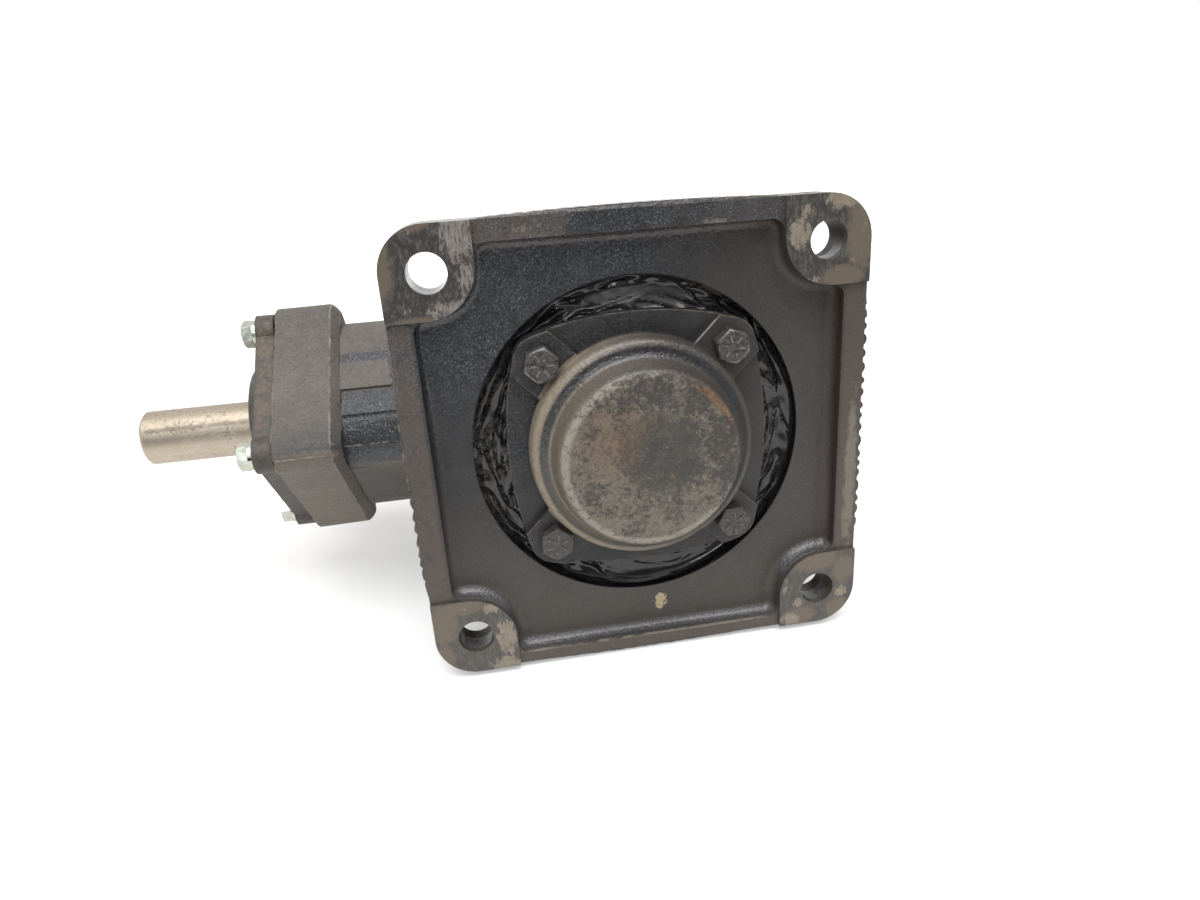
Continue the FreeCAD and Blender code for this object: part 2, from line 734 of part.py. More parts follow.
cover_front = "(case_back + cover_gasket)"
rear_cup_back = "(rear_journal + output_bearing_width)"
seal_seat = "(%s + cover_boss_reach - output_seal_width)" % cover_face
cover_hub_front = "(%s - cover_hub_length)" % cover_front
cover = turned("rear_cover_turned", [
    (cover_hub_front, "output_bearing_outer / 2"),
    (cover_hub_front, "cover_hub_diameter / 2"),
    (cover_front, "cover_hub_diameter / 2"),
    (cover_front, "barrel_diameter / 2"),
    (cover_face, "barrel_diameter / 2"),
    (cover_face, "cover_boss_diameter / 2"),
    (cover_face + " + cover_boss_reach", "cover_boss_diameter / 2"),
    (cover_face + " + cover_boss_reach", "output_seal_outer / 2"),
    (seal_seat, "output_seal_outer / 2"),
    (seal_seat, "output_bearing_bore / 2 + cover_shaft_play"),
    (seal_seat + " - cover_web", "output_bearing_bore / 2 + cover_shaft_play"),
    (seal_seat + " - cover_web", "output_bearing_outer / 2 - cover_shoulder"),
    (rear_cup_back, "output_bearing_outer / 2 - cover_shoulder"),
    (rear_cup_back, "output_bearing_outer / 2"),
], "output")
gasket = turned("rear_gasket_turned", [
    ("case_back", "cavity_diameter / 2"),
    ("case_back", "barrel_diameter / 2"),
    (cover_front, "barrel_diameter / 2"),
    (cover_front, "cavity_diameter / 2"),
], "output")
cover_holes = []
gasket_holes = []
cover_bolts = []
cover_washers = []
for number, (x, z) in enumerate(circle_places(cover_bolt_circle, cover_bolt_count)):
    name = "rear_cover_%d" % number
    for tools, kind in ((cover_holes, "_hole"), (gasket_holes, "_gasket_hole")):
        tools.append(cylinder_y(name + kind, "bolt_diameter / 2 + bolt_play / 2", before("case_back"),
                                past(cover_face), x, z))
    under_head = (x, cover_face + " + washer_thickness", z)
    cover_bolts.append(hex_bolt(name + "_bolt", under_head, ALONG_Y, AGAINST_Y, "bolt",
                                "cover_bolt_length", step_turn(COVER_BOLT_TURN, number)))
    cover_washers.append(lock_washer(name + "_washer", (x, cover_face, z), ALONG_Y, "washer", "bolt",
                                     step_turn(COVER_WASHER_TURN, number)))
node("rear_cover", cut("rear_cover_drilled", cover, cover_holes))
node("rear_cover_gasket", cut("rear_gasket_drilled", gasket, gasket_holes))
node("rear_cover_bolts", group("rear_cover_bolt_set", cover_bolts))
node("rear_cover_lock_washers", group("rear_cover_washer_set", cover_washers))

# Input cap

cap_back = "(block_face + input_gasket)"


def input_outline(label, start, end):
    """A square on its corner with a round ear at each bolt."""
    ears = [cylinder_x("%s_ear_%d" % (label, number), "input_ear_radius", start, end, y, z)
            for number, (y, z) in enumerate(diamond_places("input_bolt_spacing"))]
    return fuse(label, [diamond_x(label + "_square", "input_cap_flats", start, end)] + ears)


boss_face = "(%s + input_boss_height)" % input_cap_face
boss = solid("Cone", "input_cap_boss", ("-" + input_cap_face, "axis_depth", "0"), AGAINST_X,
             Radius1="input_boss_base / 2", Radius2="input_boss_diameter / 2", Height="input_boss_height")


def boss_rim(edge):
    return isinstance(edge.Curve, Part.Circle) and near(edge.Curve.Radius, size("input_boss_diameter") / 2)


boss = edged("Fillet", "input_cap_boss_rounded", boss, "input_boss_round", boss_rim)
pilot_end = "(block_face - input_spigot_length)"
pilot = cylinder_x("input_cap_pilot", input_bore, pilot_end, cap_back)
seal_back = "(%s - input_seal_sunk - input_seal_width)" % boss_face
input_cap_tools = [
    cylinder_x("input_cap_shaft_hole", "shaft_diameter / 2 + input_shaft_play", before("block_face"),
               boss_face),
    cylinder_x("input_cap_seal_seat", "input_seal_outer / 2", seal_back, past(boss_face)),
    cylinder_x("input_cap_pilot_hollow", input_bore + " - input_spigot_wall", before(pilot_end), cap_back),
]
input_gasket_tools = [cylinder_x("input_gasket_hollow", input_bore, before("block_face"), input_cap_face)]
input_bolts = []
input_washers = []
for number, (y, z) in enumerate(diamond_places("input_bolt_spacing")):
    name = "input_cap_%d" % number
    for tools, kind in ((input_cap_tools, "_hole"), (input_gasket_tools, "_gasket_hole")):
        tools.append(cylinder_x(name + kind, "small_bolt_diameter / 2 + bolt_play / 2", before("block_face"),
                                past(input_cap_face), y, z))
    on_cap = ("-" + input_cap_face, y, z)
    under_head = ("-%s - small_washer_thickness" % input_cap_face, y, z)
    input_washers.append(lock_washer(name + "_washer", on_cap, AGAINST_X, "small_washer", "small_bolt",
                                     step_turn(INPUT_WASHER_TURN, number)))
    input_bolts.append(hex_bolt(name + "_bolt", under_head, AGAINST_X, ALONG_X, "small_bolt",
                                "input_bolt_length", step_turn(INPUT_BOLT_TURN, number)))
input_plate = input_outline("input_cap_plate", cap_back, input_cap_face)
input_blank = fuse("input_cap_blank", [input_plate, boss, pilot])
node("input_cap", cut("input_cap_drilled", input_blank, input_cap_tools))
input_sheet = input_outline("input_gasket_sheet", "block_face", cap_back)
node("input_cap_gasket", cut("input_gasket_cut", input_sheet, input_gasket_tools))
node("input_cap_bolts", group("input_cap_bolt_set", input_bolts))
node("input_cap_lock_washers", group("input_cap_washer_set", input_washers))

# Shafts: the input's keyway faces away from the pads, the output's faces up

nut_start = "(outer_bearing_back + tab_washer_thickness)"
nut_end = "(%s + locknut_width)" % nut_start
thread_end = "(%s + thread_runout)" % nut_end
input_land = "(shaft_diameter / 2 + seal_land_step)"
ring_front = "(pinion_front - ring_thickness)"
input_turned = turned("input_shaft_turned", [
    ("shaft_nose", "0"),
    ("shaft_nose", "pinion_seat / 2 - shaft_chamfer / 2"),
    ("shaft_nose + shaft_chamfer / 2", "pinion_seat / 2"),
    (ring_front, "pinion_seat / 2"),
    (ring_front, "pinion_seat / 2 - ring_depth"),
    ("pinion_front", "pinion_seat / 2 - ring_depth"),
    ("pinion_front", "pinion_seat / 2"),
    ("pinion_back", "pinion_seat / 2"),
    ("pinion_back", "input_bearing_bore / 2"),
    (thread_end, "input_bearing_bore / 2"),
    (thread_end, input_land),
    (boss_face + " + seal_land_reach", input_land),
    (boss_face + " + seal_land_reach", "shaft_diameter / 2"),
    ("shaft_reach - shaft_chamfer", "shaft_diameter / 2"),
    ("shaft_reach", "shaft_diameter / 2 - shaft_chamfer"),
    ("shaft_reach", "0"),
], "input")
gear_back_place = "(axis_depth - gear_hub_back)"
gear_front_place = "(axis_depth - gear_front)"
seal_land = "(%s + cover_boss_reach + seal_land_reach)" % cover_face
output_turned = turned("output_shaft_turned", [
    ("output_nose", "0"),
    ("output_nose", "output_bearing_bore / 2 - output_chamfer"),
    ("output_nose + output_chamfer", "output_bearing_bore / 2"),
    (gear_back_place, "output_bearing_bore / 2"),
    (gear_back_place, "gear_seat / 2"),
    (gear_front_place, "gear_seat / 2"),
    (gear_front_place, "collar_diameter / 2"),
    (gear_front_place + " + collar_width", "collar_diameter / 2"),
    (gear_front_place + " + collar_width", "waist_diameter / 2"),
    ("rear_journal", "waist_diameter / 2"),
    ("rear_journal", "output_bearing_bore / 2"),
    (seal_land, "output_bearing_bore / 2"),
    (seal_land, "output_diameter / 2"),
    ("output_reach - output_chamfer", "output_diameter / 2"),
    ("output_reach", "output_diameter / 2 - output_chamfer"),
    ("output_reach", "0"),
], "output")
gear_key_start = "(%s + gear_key_inset)" % gear_back_place


def pinion_key_block(label):
    """The pinion key stands on top of the shaft, half its height in each piece."""
    place = ("pinion_key_inset - pinion_back", "axis_depth - pinion_key_width / 2",
             "pinion_seat / 2 - pinion_key_height / 2")
    return solid("Box", label, place, Length="pinion_key_length", Width="pinion_key_width",
                 Height="pinion_key_height")


def gear_key_block(label):
    """The gear key stands on top of the output shaft, half its height in each piece."""
    place = ("-gear_key_width / 2", gear_key_start, "gear_seat / 2 - gear_key_height / 2")
    return solid("Box", label, place, Length="gear_key_width", Width="gear_key_length",
                 Height="gear_key_height")


input_keyway_place = ("-shaft_reach", "axis_depth + shaft_diameter / 2 - keyway_depth", "-keyway_width / 2")
input_keyway = solid("Box", "input_keyway", input_keyway_place, Length="keyway_length",
                     Width="keyway_depth * 2", Height="keyway_width")
output_keyway_place = ("-output_keyway_width / 2", "output_reach - output_keyway_length",
                       "output_diameter / 2 - output_keyway_depth")
output_keyway = solid("Box", "output_keyway", output_keyway_place, Length="output_keyway_width",
                      Width="output_keyway_length", Height="output_keyway_depth * 2")
input_slots = [input_keyway, pinion_key_block("pinion_key_slot")]
output_slots = [output_keyway, gear_key_block("gear_key_slot")]
node("input_shaft", cut("input_shaft_keyed", input_turned, input_slots))
node("output_shaft", cut("output_shaft_keyed", output_turned, output_slots))
node("pinion_key", pinion_key_block("pinion_key_bar"))
node("gear_key", gear_key_block("gear_key_bar"))
node("gear_spacer", turned("gear_spacer_ring", [
    ("front_bearing_back", "output_bearing_bore / 2"),
    ("front_bearing_back", "output_bearing_bore / 2 + gear_spacer_wall"),
    (gear_back_place, "output_bearing_bore / 2 + gear_spacer_wall"),
    (gear_back_place, "output_bearing_bore / 2"),
], "output"))
ring = turned("retaining_ring_turned", [
    (ring_front, "pinion_seat / 2 - ring_depth"),
    (ring_front, "ring_outer / 2"),
    ("pinion_front", "ring_outer / 2"),
    ("pinion_front", "pinion_seat / 2 - ring_depth"),
], "input")
ring_gap_place = ("-pinion_front", "axis_depth - ring_outer / 8", "0")
ring_gap = solid("Box", "retaining_ring_gap", ring_gap_place, Length="ring_thickness", Width="ring_outer / 4",
                 Height="ring_outer")
node("pinion_retaining_ring", cut("retaining_ring_split", ring, [ring_gap]))

# Bevel gears: each tooth is ruled towards the point where the axes meet


def involute(angle):
    return math.tan(angle) - angle


def tooth_flank(virtual_radius, top, root):
    """Points up one flank of a tooth, as an angle from its middle and a radius, on the virtual spur gear."""
    pressure = math.radians(size("pressure_angle"))
    base = virtual_radius * math.cos(pressure)
    thickness = math.pi * size("gear_module") / 2 - size("tooth_backlash") / 2
    half = thickness / (2 * virtual_radius)
    steps = 7
    flank = []
    for step in range(steps):
        radius = root + (top - root) * step / (steps - 1)
        local = math.acos(min(1.0, base / radius))
        flank.append((half + involute(pressure) - involute(local), radius))
    return flank


def faceted_bar(first, second):
    """A solid between two like polygons whose matching sides lie in one plane."""
    def facet(points):
        return Part.Face(Part.makePolygon(points + points[:1]))
    count = len(first)
    facets = [facet(first), facet(second)]
    for number in range(count):
        follow = (number + 1) % count
        facets.append(facet([first[number], first[follow], second[follow], second[number]]))
    bar = Part.Solid(Part.Shell(facets))
    if bar.Volume < 0:
        bar.reverse()
    return bar


def bevel_wheel(axis, radial, teeth, mate_teeth, addendum, dedendum, blank, first_turn):
    """A straight bevel gear about an axis from the apex: a turned blank with its teeth fused on."""
    apex = Vector(0, size("axis_depth"), 0)
    module = size("gear_module")
    cone = math.atan2(teeth, mate_teeth)
    cone_distance = module / 2 * math.hypot(teeth, mate_teeth)
    virtual_radius = module * teeth / 2 / math.cos(cone)
    element = radial * math.sin(cone) + axis * math.cos(cone)
    rise = radial * math.cos(cone) - axis * math.sin(cone)
    across = axis.cross(radial)
    sunk = module / 8
    flank = tooth_flank(virtual_radius, virtual_radius + addendum, virtual_radius - dedendum - sunk)
    ends = []
    for share in (1.0, size("small_end_share")):
        def spot(angle, radius):
            height = radius * math.cos(angle) - virtual_radius
            aside = radius * math.sin(angle)
            return apex + (element * cone_distance + rise * height + across * aside) * share
        left = [spot(-angle, radius) for angle, radius in flank]
        right = [spot(angle, radius) for angle, radius in reversed(flank)]
        ends.append(left + right)
    tooth = faceted_bar(*ends)
    profile = Part.makePolygon([apex + radial * radius + axis * place for radius, place in blank + blank[:1]])
    body = Part.Face(profile).revolve(apex, axis, 360)
    copies = []
    for number in range(teeth):
        copy = tooth.copy()
        copy.rotate(apex, axis, first_turn + 360.0 * number / teeth)
        copies.append(copy)
    return body.multiFuse(copies)


def root_ends(teeth, mate_teeth, dedendum, place):
    """Radius and place of the root cone's large end and small end, each a little past the teeth."""
    radius = size("gear_module") * teeth / 2 - dedendum * mate_teeth / size("tooth_diagonal")
    past_teeth = size("root_overhang") / math.hypot(radius, place)
    shares = (1 + past_teeth, size("small_end_share") - past_teeth)
    return [(radius * share, place * share) for share in shares]


def gear_node(label, shape, slot):
    """A gear with the slot of its key cut out."""
    doc.recompute()
    item = doc.addObject("Part::Feature", label + "_toothed")
    item.Shape = shape
    return node(label, cut(label + "_keyed", item, [slot]))


module = size("gear_module")
pinion_count = int(size("pinion_teeth"))
gear_count = int(size("gear_teeth"))
pinion_top = module * size("pinion_addendum")
gear_top = module * size("gear_addendum")
pinion_root = size("pinion_dedendum")
gear_root = size("gear_dedendum")
large, small = root_ends(pinion_count, gear_count, pinion_root, size("pinion_root_place"))
pinion_blank = [
    (size("pinion_seat") / 2, size("pinion_front")),
    (small[0] - module / 4, size("pinion_front")),
    small,
    large,
    (size("pinion_hub_diameter") / 2, large[1] + module / 2),
    (size("pinion_hub_diameter") / 2, size("pinion_back")),
    (size("pinion_seat") / 2, size("pinion_back")),
]
pinion = bevel_wheel(Vector(-1, 0, 0), Vector(0, -1, 0), pinion_count, gear_count, pinion_top, pinion_root,
                     pinion_blank, 0.0)
large, small = root_ends(gear_count, pinion_count, gear_root, size("gear_root_place"))
rim_back = (large[1] + size("gear_hub_back")) / 2
gear_blank = [
    (size("gear_seat") / 2, size("gear_front")),
    (small[0] - module, size("gear_front")),
    small,
    large,
    (large[0] - module, rim_back),
    (size("gear_hub_diameter") / 2, rim_back),
    (size("gear_hub_diameter") / 2, size("gear_hub_back")),
    (size("gear_seat") / 2, size("gear_hub_back")),
]
gear = bevel_wheel(Vector(0, -1, 0), Vector(-1, 0, 0), gear_count, pinion_count, gear_top, gear_root,
                   gear_blank, 180.0 / gear_count)
gear_node("bevel_pinion", pinion, pinion_key_block("pinion_key_seat"))
gear_node("bevel_gear", gear, gear_key_block("gear_key_seat"))

# Tapered roller bearings: raceways and rollers are cones that share one apex on the axis


def bearing(name, kind, axis, back, way):
    """Cup, cone, rollers and cage of a bearing whose cone backs on a place and which runs way from there."""
    tilt = "(roller_tilt * 1deg)"
    pitch = "(%s_pitch_diameter / 2)" % kind
    roller = "(%s_roller_diameter / 2)" % kind
    middle = kind + "_roller_middle"
    slope = "atan(%s * sin(%s) / %s)" % (roller, tilt, pitch)
    apex = "(%s + %s / tan(%s))" % (middle, pitch, tilt)
    width = kind + "_bearing_width"
    cone_width = kind + "_cone_width"
    rib = kind + "_rib_width"
    bore = kind + "_bearing_bore / 2"

    def at(place):
        return "%s %s (%s)" % (back, way, place)

    def cone_race(place):
        return "(%s - (%s)) * tan(%s - %s)" % (apex, place, tilt, slope)

    def cup_race(place):
        return "(%s - (%s)) * tan(%s + %s)" % (apex, place, tilt, slope)

    cup_front = "%s - %s_cup_width" % (width, kind)
    node(name + "_cup", turned(name + "_cup_ring", [
        (at(cup_front), kind + "_bearing_outer / 2"),
        (at(width), kind + "_bearing_outer / 2"),
        (at(width), cup_race(width)),
        (at(cup_front), cup_race(cup_front)),
    ], axis))
    small_rib = "%s - %s / 2" % (cone_width, rib)
    node(name + "_cone", turned(name + "_cone_ring", [
        (at("0"), bore),
        (at(cone_width), bore),
        (at(cone_width), cone_race(small_rib) + " + %s_rib_height / 4" % kind),
        (at(small_rib), cone_race(small_rib) + " + %s_rib_height / 4" % kind),
        (at(small_rib), cone_race(small_rib)),
        (at(rib), cone_race(rib)),
        (at(rib), cone_race(rib) + " + %s_rib_height" % kind),
        (at("0"), cone_race(rib) + " + %s_rib_height" % kind),
    ], axis))
    cage_points = []
    for end, side in ((1, -1), (1, 1), (-1, 1), (-1, -1)):
        far = "%d * (%s_roller_length / 2 + cage_overhang)" % (end, kind)
        thick = "%d * cage_thickness / 2" % side
        place = "%s - %s * cos(%s) + %s * sin(%s)" % (middle, far, tilt, thick, tilt)
        radius = "%s + %s * sin(%s) + %s * cos(%s)" % (pitch, far, tilt, thick, tilt)
        cage_points.append((at(place), radius))
    cage_ring = turned(name + "_cage_ring", cage_points, axis)
    rollers = []
    pockets = []
    count = int(size(kind + "_roller_count"))
    for number in range(count):
        turn = 2 * math.pi * number / count
        for items, play, label in ((rollers, "-roller_play", "_roller_"), (pockets, "cage_play", "_pocket_")):
            items.append(roller_cone(name + label + str(number), kind, axis, back, way, turn, play))
    node(name + "_rollers", group(name + "_roller_set", rollers))
    node(name + "_cage", cut(name + "_cage_pierced", cage_ring, pockets))


def roller_cone(label, kind, axis, back, way, turn, play):
    """One tapered roller, or the pocket round it, with its large end towards the cone's back."""
    tilt = math.radians(size("roller_tilt"))
    along = Vector(0, 1, 0) if axis == "output" else Vector(-1, 0, 0)
    if way == "-":
        along = along * -1
    side = Vector(0, 0, 1)
    out = side * math.cos(turn) + along.cross(side) * math.sin(turn)
    lean = along * math.cos(tilt) - out * math.sin(tilt)
    pitch = "%s_pitch_diameter / 2" % kind
    length = "%s_roller_length + 2 * (%s)" % (kind, play)
    taper = "%s_roller_length / 2 * sin(roller_tilt * 1deg) / (%s)" % (kind, pitch)
    radius = "%s_roller_diameter / 2" % kind
    item = doc.addObject("Part::Cone", label)
    item.Placement = Placement(Vector(), Rotation(Vector(0, 0, 1), lean))
    bind(item, "Radius1", "%s * (1 + %s) + %s" % (radius, taper, play))
    bind(item, "Radius2", "%s * (1 - %s) + %s" % (radius, taper, play))
    bind(item, "Height", length)
    far = "(%s) / 2" % length
    depth = "(%s_roller_middle - %s * cos(roller_tilt * 1deg))" % (kind, far)
    reach = "(%s + %s * sin(roller_tilt * 1deg))" % (pitch, far)
    if axis == "output":
        start = ("0", back, "0")
    else:
        start = ("-(%s)" % back, "axis_depth", "0")
    for letter, base, axial, radial in zip("xyz", start, along, out):
        place = "%s + (%r) * %s + (%r) * %s" % (base, axial, depth, radial, reach)
        bind(item, "Placement.Base." + letter, place)
    return item


bearing("output_front_bearing", "output", "output", "front_bearing_back", "-")
bearing("output_rear_bearing", "output", "output", "rear_journal", "+")
bearing("input_inner_bearing", "input", "input", inner_bearing_back, "+")
bearing("input_outer_bearing", "input", "input", "outer_bearing_back", "-")

# Locknut and tab washer of the input shaft

node("input_tab_washer", turned("tab_washer_ring", [
    ("outer_bearing_back", "input_bearing_bore / 2"),
    ("outer_bearing_back", "tab_washer_diameter / 2"),
    (nut_start, "tab_washer_diameter / 2"),
    (nut_start, "input_bearing_bore / 2"),
], "input"))
nut = turned("locknut_turned", [
    (nut_start, "input_bearing_bore / 2"),
    (nut_start, "locknut_diameter / 2"),
    (nut_end, "locknut_diameter / 2"),
    (nut_end, "input_bearing_bore / 2"),
], "input")
slots = []
for number in range(4):
    turn = 90 * number
    reach = "(locknut_diameter / 2 - locknut_slot_depth)"
    aside = "locknut_slot_width / 2"
    place = ("-" + nut_end, "axis_depth - %s * sin(%ddeg) - %s * cos(%ddeg)" % (reach, turn, aside, turn),
             "%s * cos(%ddeg) - %s * sin(%ddeg)" % (reach, turn, aside, turn))
    slots.append(solid("Box", "locknut_slot_%d" % number, place, Rotation(Vector(1, 0, 0), turn),
                       Length="locknut_width", Width="locknut_slot_width", Height="locknut_diameter"))
node("input_locknut", cut("locknut_slotted", nut, slots))

# Oil seals: a stiffened ring, a web and a lip with its garter spring


def oil_seal(name, kind, axis, back, shaft_radius):
    """A seal that is open towards the oil at back; its lip runs on the shaft."""
    front = "(%s + %s_seal_width)" % (back, kind)
    outer = "%s_seal_outer / 2" % kind
    lip = "(%s + seal_play)" % shaft_radius
    web = "(%s - seal_web)" % front
    crest = "(%s + %s_seal_width / 3)" % (back, kind)
    node(name, turned(name + "_ring", [
        (back, outer),
        (front, outer),
        (front, lip + " + seal_lip / 2"),
        (crest + " + seal_lip / 4", lip),
        (crest + " - seal_lip / 4", lip),
        (back + " + seal_lip / 8", lip + " + seal_lip / 2"),
        (back + " + seal_lip / 8", lip + " + seal_lip"),
        (web, lip + " + seal_lip"),
        (web, outer + " - seal_wall"),
        (back, outer + " - seal_wall"),
    ], axis))
    if axis == "output":
        place, turn = ("0", crest, "0"), ALONG_Y
    else:
        place, turn = ("-" + crest, "axis_depth", "0"), AGAINST_X
    spring = name.replace("oil_seal", "garter_spring")
    node(spring, solid("Torus", spring + "_coil", place, turn, Radius2="garter_wire / 2",
                       Radius1=lip + " + seal_lip + garter_wire / 2"))


oil_seal("input_oil_seal", "input", "input", seal_back, input_land)
oil_seal("output_oil_seal", "output", "output", seal_seat, "output_bearing_bore / 2")

# Check every object, then write each sub-part to its own file

doc.recompute()
for item in doc.Objects:
    if "Invalid" in item.State or "Error" in item.State:
        raise RuntimeError("%s failed: %s" % (item.Label, item.State))
for item in nodes:
    if item.Shape.isNull() or not item.Shape.isValid() or not item.Shape.Solids:
        raise RuntimeError("%s has no valid solid" % item.Label)
os.makedirs("parts", exist_ok=True)
for item in nodes:
    item.Shape.exportStep("parts/%s.step" % item.Label)
print("%d sub-parts written" % len(nodes))
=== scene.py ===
"""Look of a right angle flange gearbox: painted iron castings, worn pads, bolts, sealant and shafts."""
import json
import math
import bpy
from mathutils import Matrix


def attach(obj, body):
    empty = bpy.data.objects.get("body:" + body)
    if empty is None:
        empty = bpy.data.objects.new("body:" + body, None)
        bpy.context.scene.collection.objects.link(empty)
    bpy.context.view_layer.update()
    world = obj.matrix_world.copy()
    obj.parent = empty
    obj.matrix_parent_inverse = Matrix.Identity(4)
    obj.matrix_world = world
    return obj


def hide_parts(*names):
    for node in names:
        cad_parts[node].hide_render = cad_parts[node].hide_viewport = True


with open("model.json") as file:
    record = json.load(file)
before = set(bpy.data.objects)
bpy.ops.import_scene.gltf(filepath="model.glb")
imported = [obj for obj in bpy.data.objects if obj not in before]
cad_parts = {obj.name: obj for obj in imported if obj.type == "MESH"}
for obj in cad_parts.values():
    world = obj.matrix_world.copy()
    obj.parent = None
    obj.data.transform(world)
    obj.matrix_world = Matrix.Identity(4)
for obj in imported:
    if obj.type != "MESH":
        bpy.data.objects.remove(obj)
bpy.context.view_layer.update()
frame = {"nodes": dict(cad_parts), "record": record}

from types import SimpleNamespace

import bmesh
import bpy
from mathutils import Matrix, Vector, noise

MM = 0.001
NODES = frame["nodes"]
BODY_OF = {node: body for body, nodes in frame["record"]["behaviour"]["bodies"].items() for node in nodes}
SLOT_OF = {entry["node"]: entry["material_slot"] for entry in frame["record"]["subparts"]}

# Sizes in millimetres, as the solids have them, with depths along Y from the plane of the pads
HOLE_PLACE = 76.2
FLANGE_HALF = 93.5
RIM_DEPTH = 1.8
RIM_INNER = 84.0
OPENING_RADIUS = 68.2
AXIS_DEPTH = 91.8
BLOCK_BACK = -124.5
FLASH_RISE = 1.6
FLASH_REACH = FLANGE_HALF + FLASH_RISE
FLASH_NEAR = 6.8
FLASH_FAR = 11.8
DOME_RADIUS = 46.3
DRUM_RADIUS = 38.4
FACE_RADIUS = 36.0
FACE_DEPTH = -15.7
BOLT_PLACE = 38.1

# Places of the painted zones, in millimetres
PAD_END = 0.35
FLANGE_END = 24.0
# height of the painted reflection, a dark band along the shaft
REFLECTION_BAND_HEIGHT = 6.4


# Shader maths

class Wire:
    """A shader output that takes plain arithmetic."""

    def __init__(self, nodes, socket):
        self.nodes = nodes
        self.socket = socket

    def __add__(self, other):
        return self.nodes.math("ADD", self, other)

    def __sub__(self, other):
        return self.nodes.math("SUBTRACT", self, other)

    def __rsub__(self, other):
        return self.nodes.math("SUBTRACT", other, self)

    def __mul__(self, other):
        return self.nodes.math("MULTIPLY", self, other)

    def __truediv__(self, other):
        return self.nodes.math("DIVIDE", self, other)

    def __rtruediv__(self, other):
        return self.nodes.math("DIVIDE", other, self)

    def __pow__(self, other):
        return self.nodes.math("POWER", self, other)

    def __rpow__(self, other):
        return self.nodes.math("POWER", other, self)

    __radd__ = __add__
    __rmul__ = __mul__


class Nodes:
    """The node tree of a material or a world, with a short method for each kind of step."""

    def __init__(self, owner):
        owner.use_nodes = True
        self.tree = owner.node_tree
        self.tree.nodes.clear()

    def add(self, kind, out, inputs, **settings):
        """A new node with its settings, then its socket values or links, and the named output, if any."""
        node = self.tree.nodes.new(kind)
        for name, value in settings.items():
            setattr(node, name, value)
        for key, value in inputs.items():
            if isinstance(value, Wire):
                self.tree.links.new(value.socket, node.inputs[key])
            else:
                node.inputs[key].default_value = value
        return None if out is None else Wire(self, node.outputs[out])

    def math(self, operation, *values):
        return self.add("ShaderNodeMath", 0, dict(enumerate(values)), operation=operation)

    def high(self, first, second):
        return self.math("MAXIMUM", first, second)

    def most(self, *values):
        found = values[0]
        for value in values[1:]:
            found = self.high(found, value)
        return found

    def size(self, value):
        return self.math("ABSOLUTE", value)

    def distance(self, first, second):
        return self.math("SQRT", first ** 2.0 + second ** 2.0)

    def step(self, value, start, end, first=0.0, last=1.0):
        """Smooth change from first to last as value goes from start to end."""
        return self.add("ShaderNodeMapRange", 0, {0: value, 1: start, 2: end, 3: first, 4: last},
                        interpolation_type="SMOOTHSTEP")

    def band(self, value, start, end, soft):
        """1 between start and end, with a soft change at both."""
        rising = self.step(value, start - soft, start + soft)
        return rising * self.step(value, end - soft, end + soft, 1.0, 0.0)

    def mix(self, share, first, second):
        """Colour between first and second by share."""
        pair = [tone if isinstance(tone, Wire) else (*tone, 1.0) for tone in (first, second)]
        return self.add("ShaderNodeMix", 2, {0: share, 6: pair[0], 7: pair[1]}, data_type="RGBA")

    def rays(self):
        """Whether a ray comes from the camera, off a glossy surface, or through a clear one."""
        kinds = ("Is Camera Ray", "Is Glossy Ray", "Is Transmission Ray")
        return [self.add("ShaderNodeLightPath", kind, {}) for kind in kinds]


class Finish(Nodes):
    """A procedural material, with its coordinates in millimetres of the part's frame."""

    def __init__(self, name, slot=None):
        self.material = bpy.data.materials.new(name)
        self.slot = slot
        super().__init__(self.material)
        metres = self.add("ShaderNodeTexCoord", "Object", {})
        self.place = self.add("ShaderNodeVectorMath", 0, {0: metres, "Scale": 1 / MM}, operation="SCALE")
        self.x, self.y, self.z = [self.add("ShaderNodeSeparateXYZ", axis, {0: self.place})
                                  for axis in range(3)]

    def noise(self, span, detail=3.0, rough=0.55, stretch=(1, 1, 1), shift=0.0):
        """Noise with features of about span millimetres."""
        moved = (shift, shift * 0.7, -shift * 1.3)
        place = self.add("ShaderNodeMapping", 0, {0: self.place, 1: moved, 3: stretch})
        return self.add("ShaderNodeTexNoise", 0, {"Vector": place, "Scale": 1 / span, "Detail": detail,
                                                  "Roughness": rough})

    def blob(self, x, z, wide, tall):
        """1 at a point on a face that faces the front, 0 from an ellipse around it outwards."""
        across = ((self.x - x) / wide) ** 2.0
        along = ((self.z - z) / tall) ** 2.0
        return self.high(1.0 - across - along, 0.0)

    def spots(self, rows):
        """The strongest of several blobs, each with its strength."""
        return self.most(*[self.blob(x, z, wide, tall) * strength for x, z, wide, tall, strength in rows])

    def attribute(self, name):
        return self.add("ShaderNodeAttribute", "Fac", {}, attribute_name=name)

    def upward(self):
        """How far the surface faces up, from -1 to 1."""
        return self.add("ShaderNodeSeparateXYZ", 2, {0: self.add("ShaderNodeTexCoord", "Normal", {})})

    def bump(self, height, depth):
        """Normal of a height from 0 to 1 that stands for depth millimetres."""
        return self.add("ShaderNodeBump", 0, {"Height": height, "Distance": depth * MM, "Strength": 1.0})

    def end(self, surface):
        self.add("ShaderNodeOutputMaterial", None, {"Surface": surface})

    def done(self, color, rough, normal, metal=0.0, coat=0.0, coat_rough=0.15):
        """Ends the material in one surface shader."""
        self.end(self.add("ShaderNodeBsdfPrincipled", 0, {
            "Base Color": color, "Roughness": rough, "Metallic": metal, "Normal": normal,
            "Coat Weight": coat, "Coat Roughness": coat_rough}))
        return self
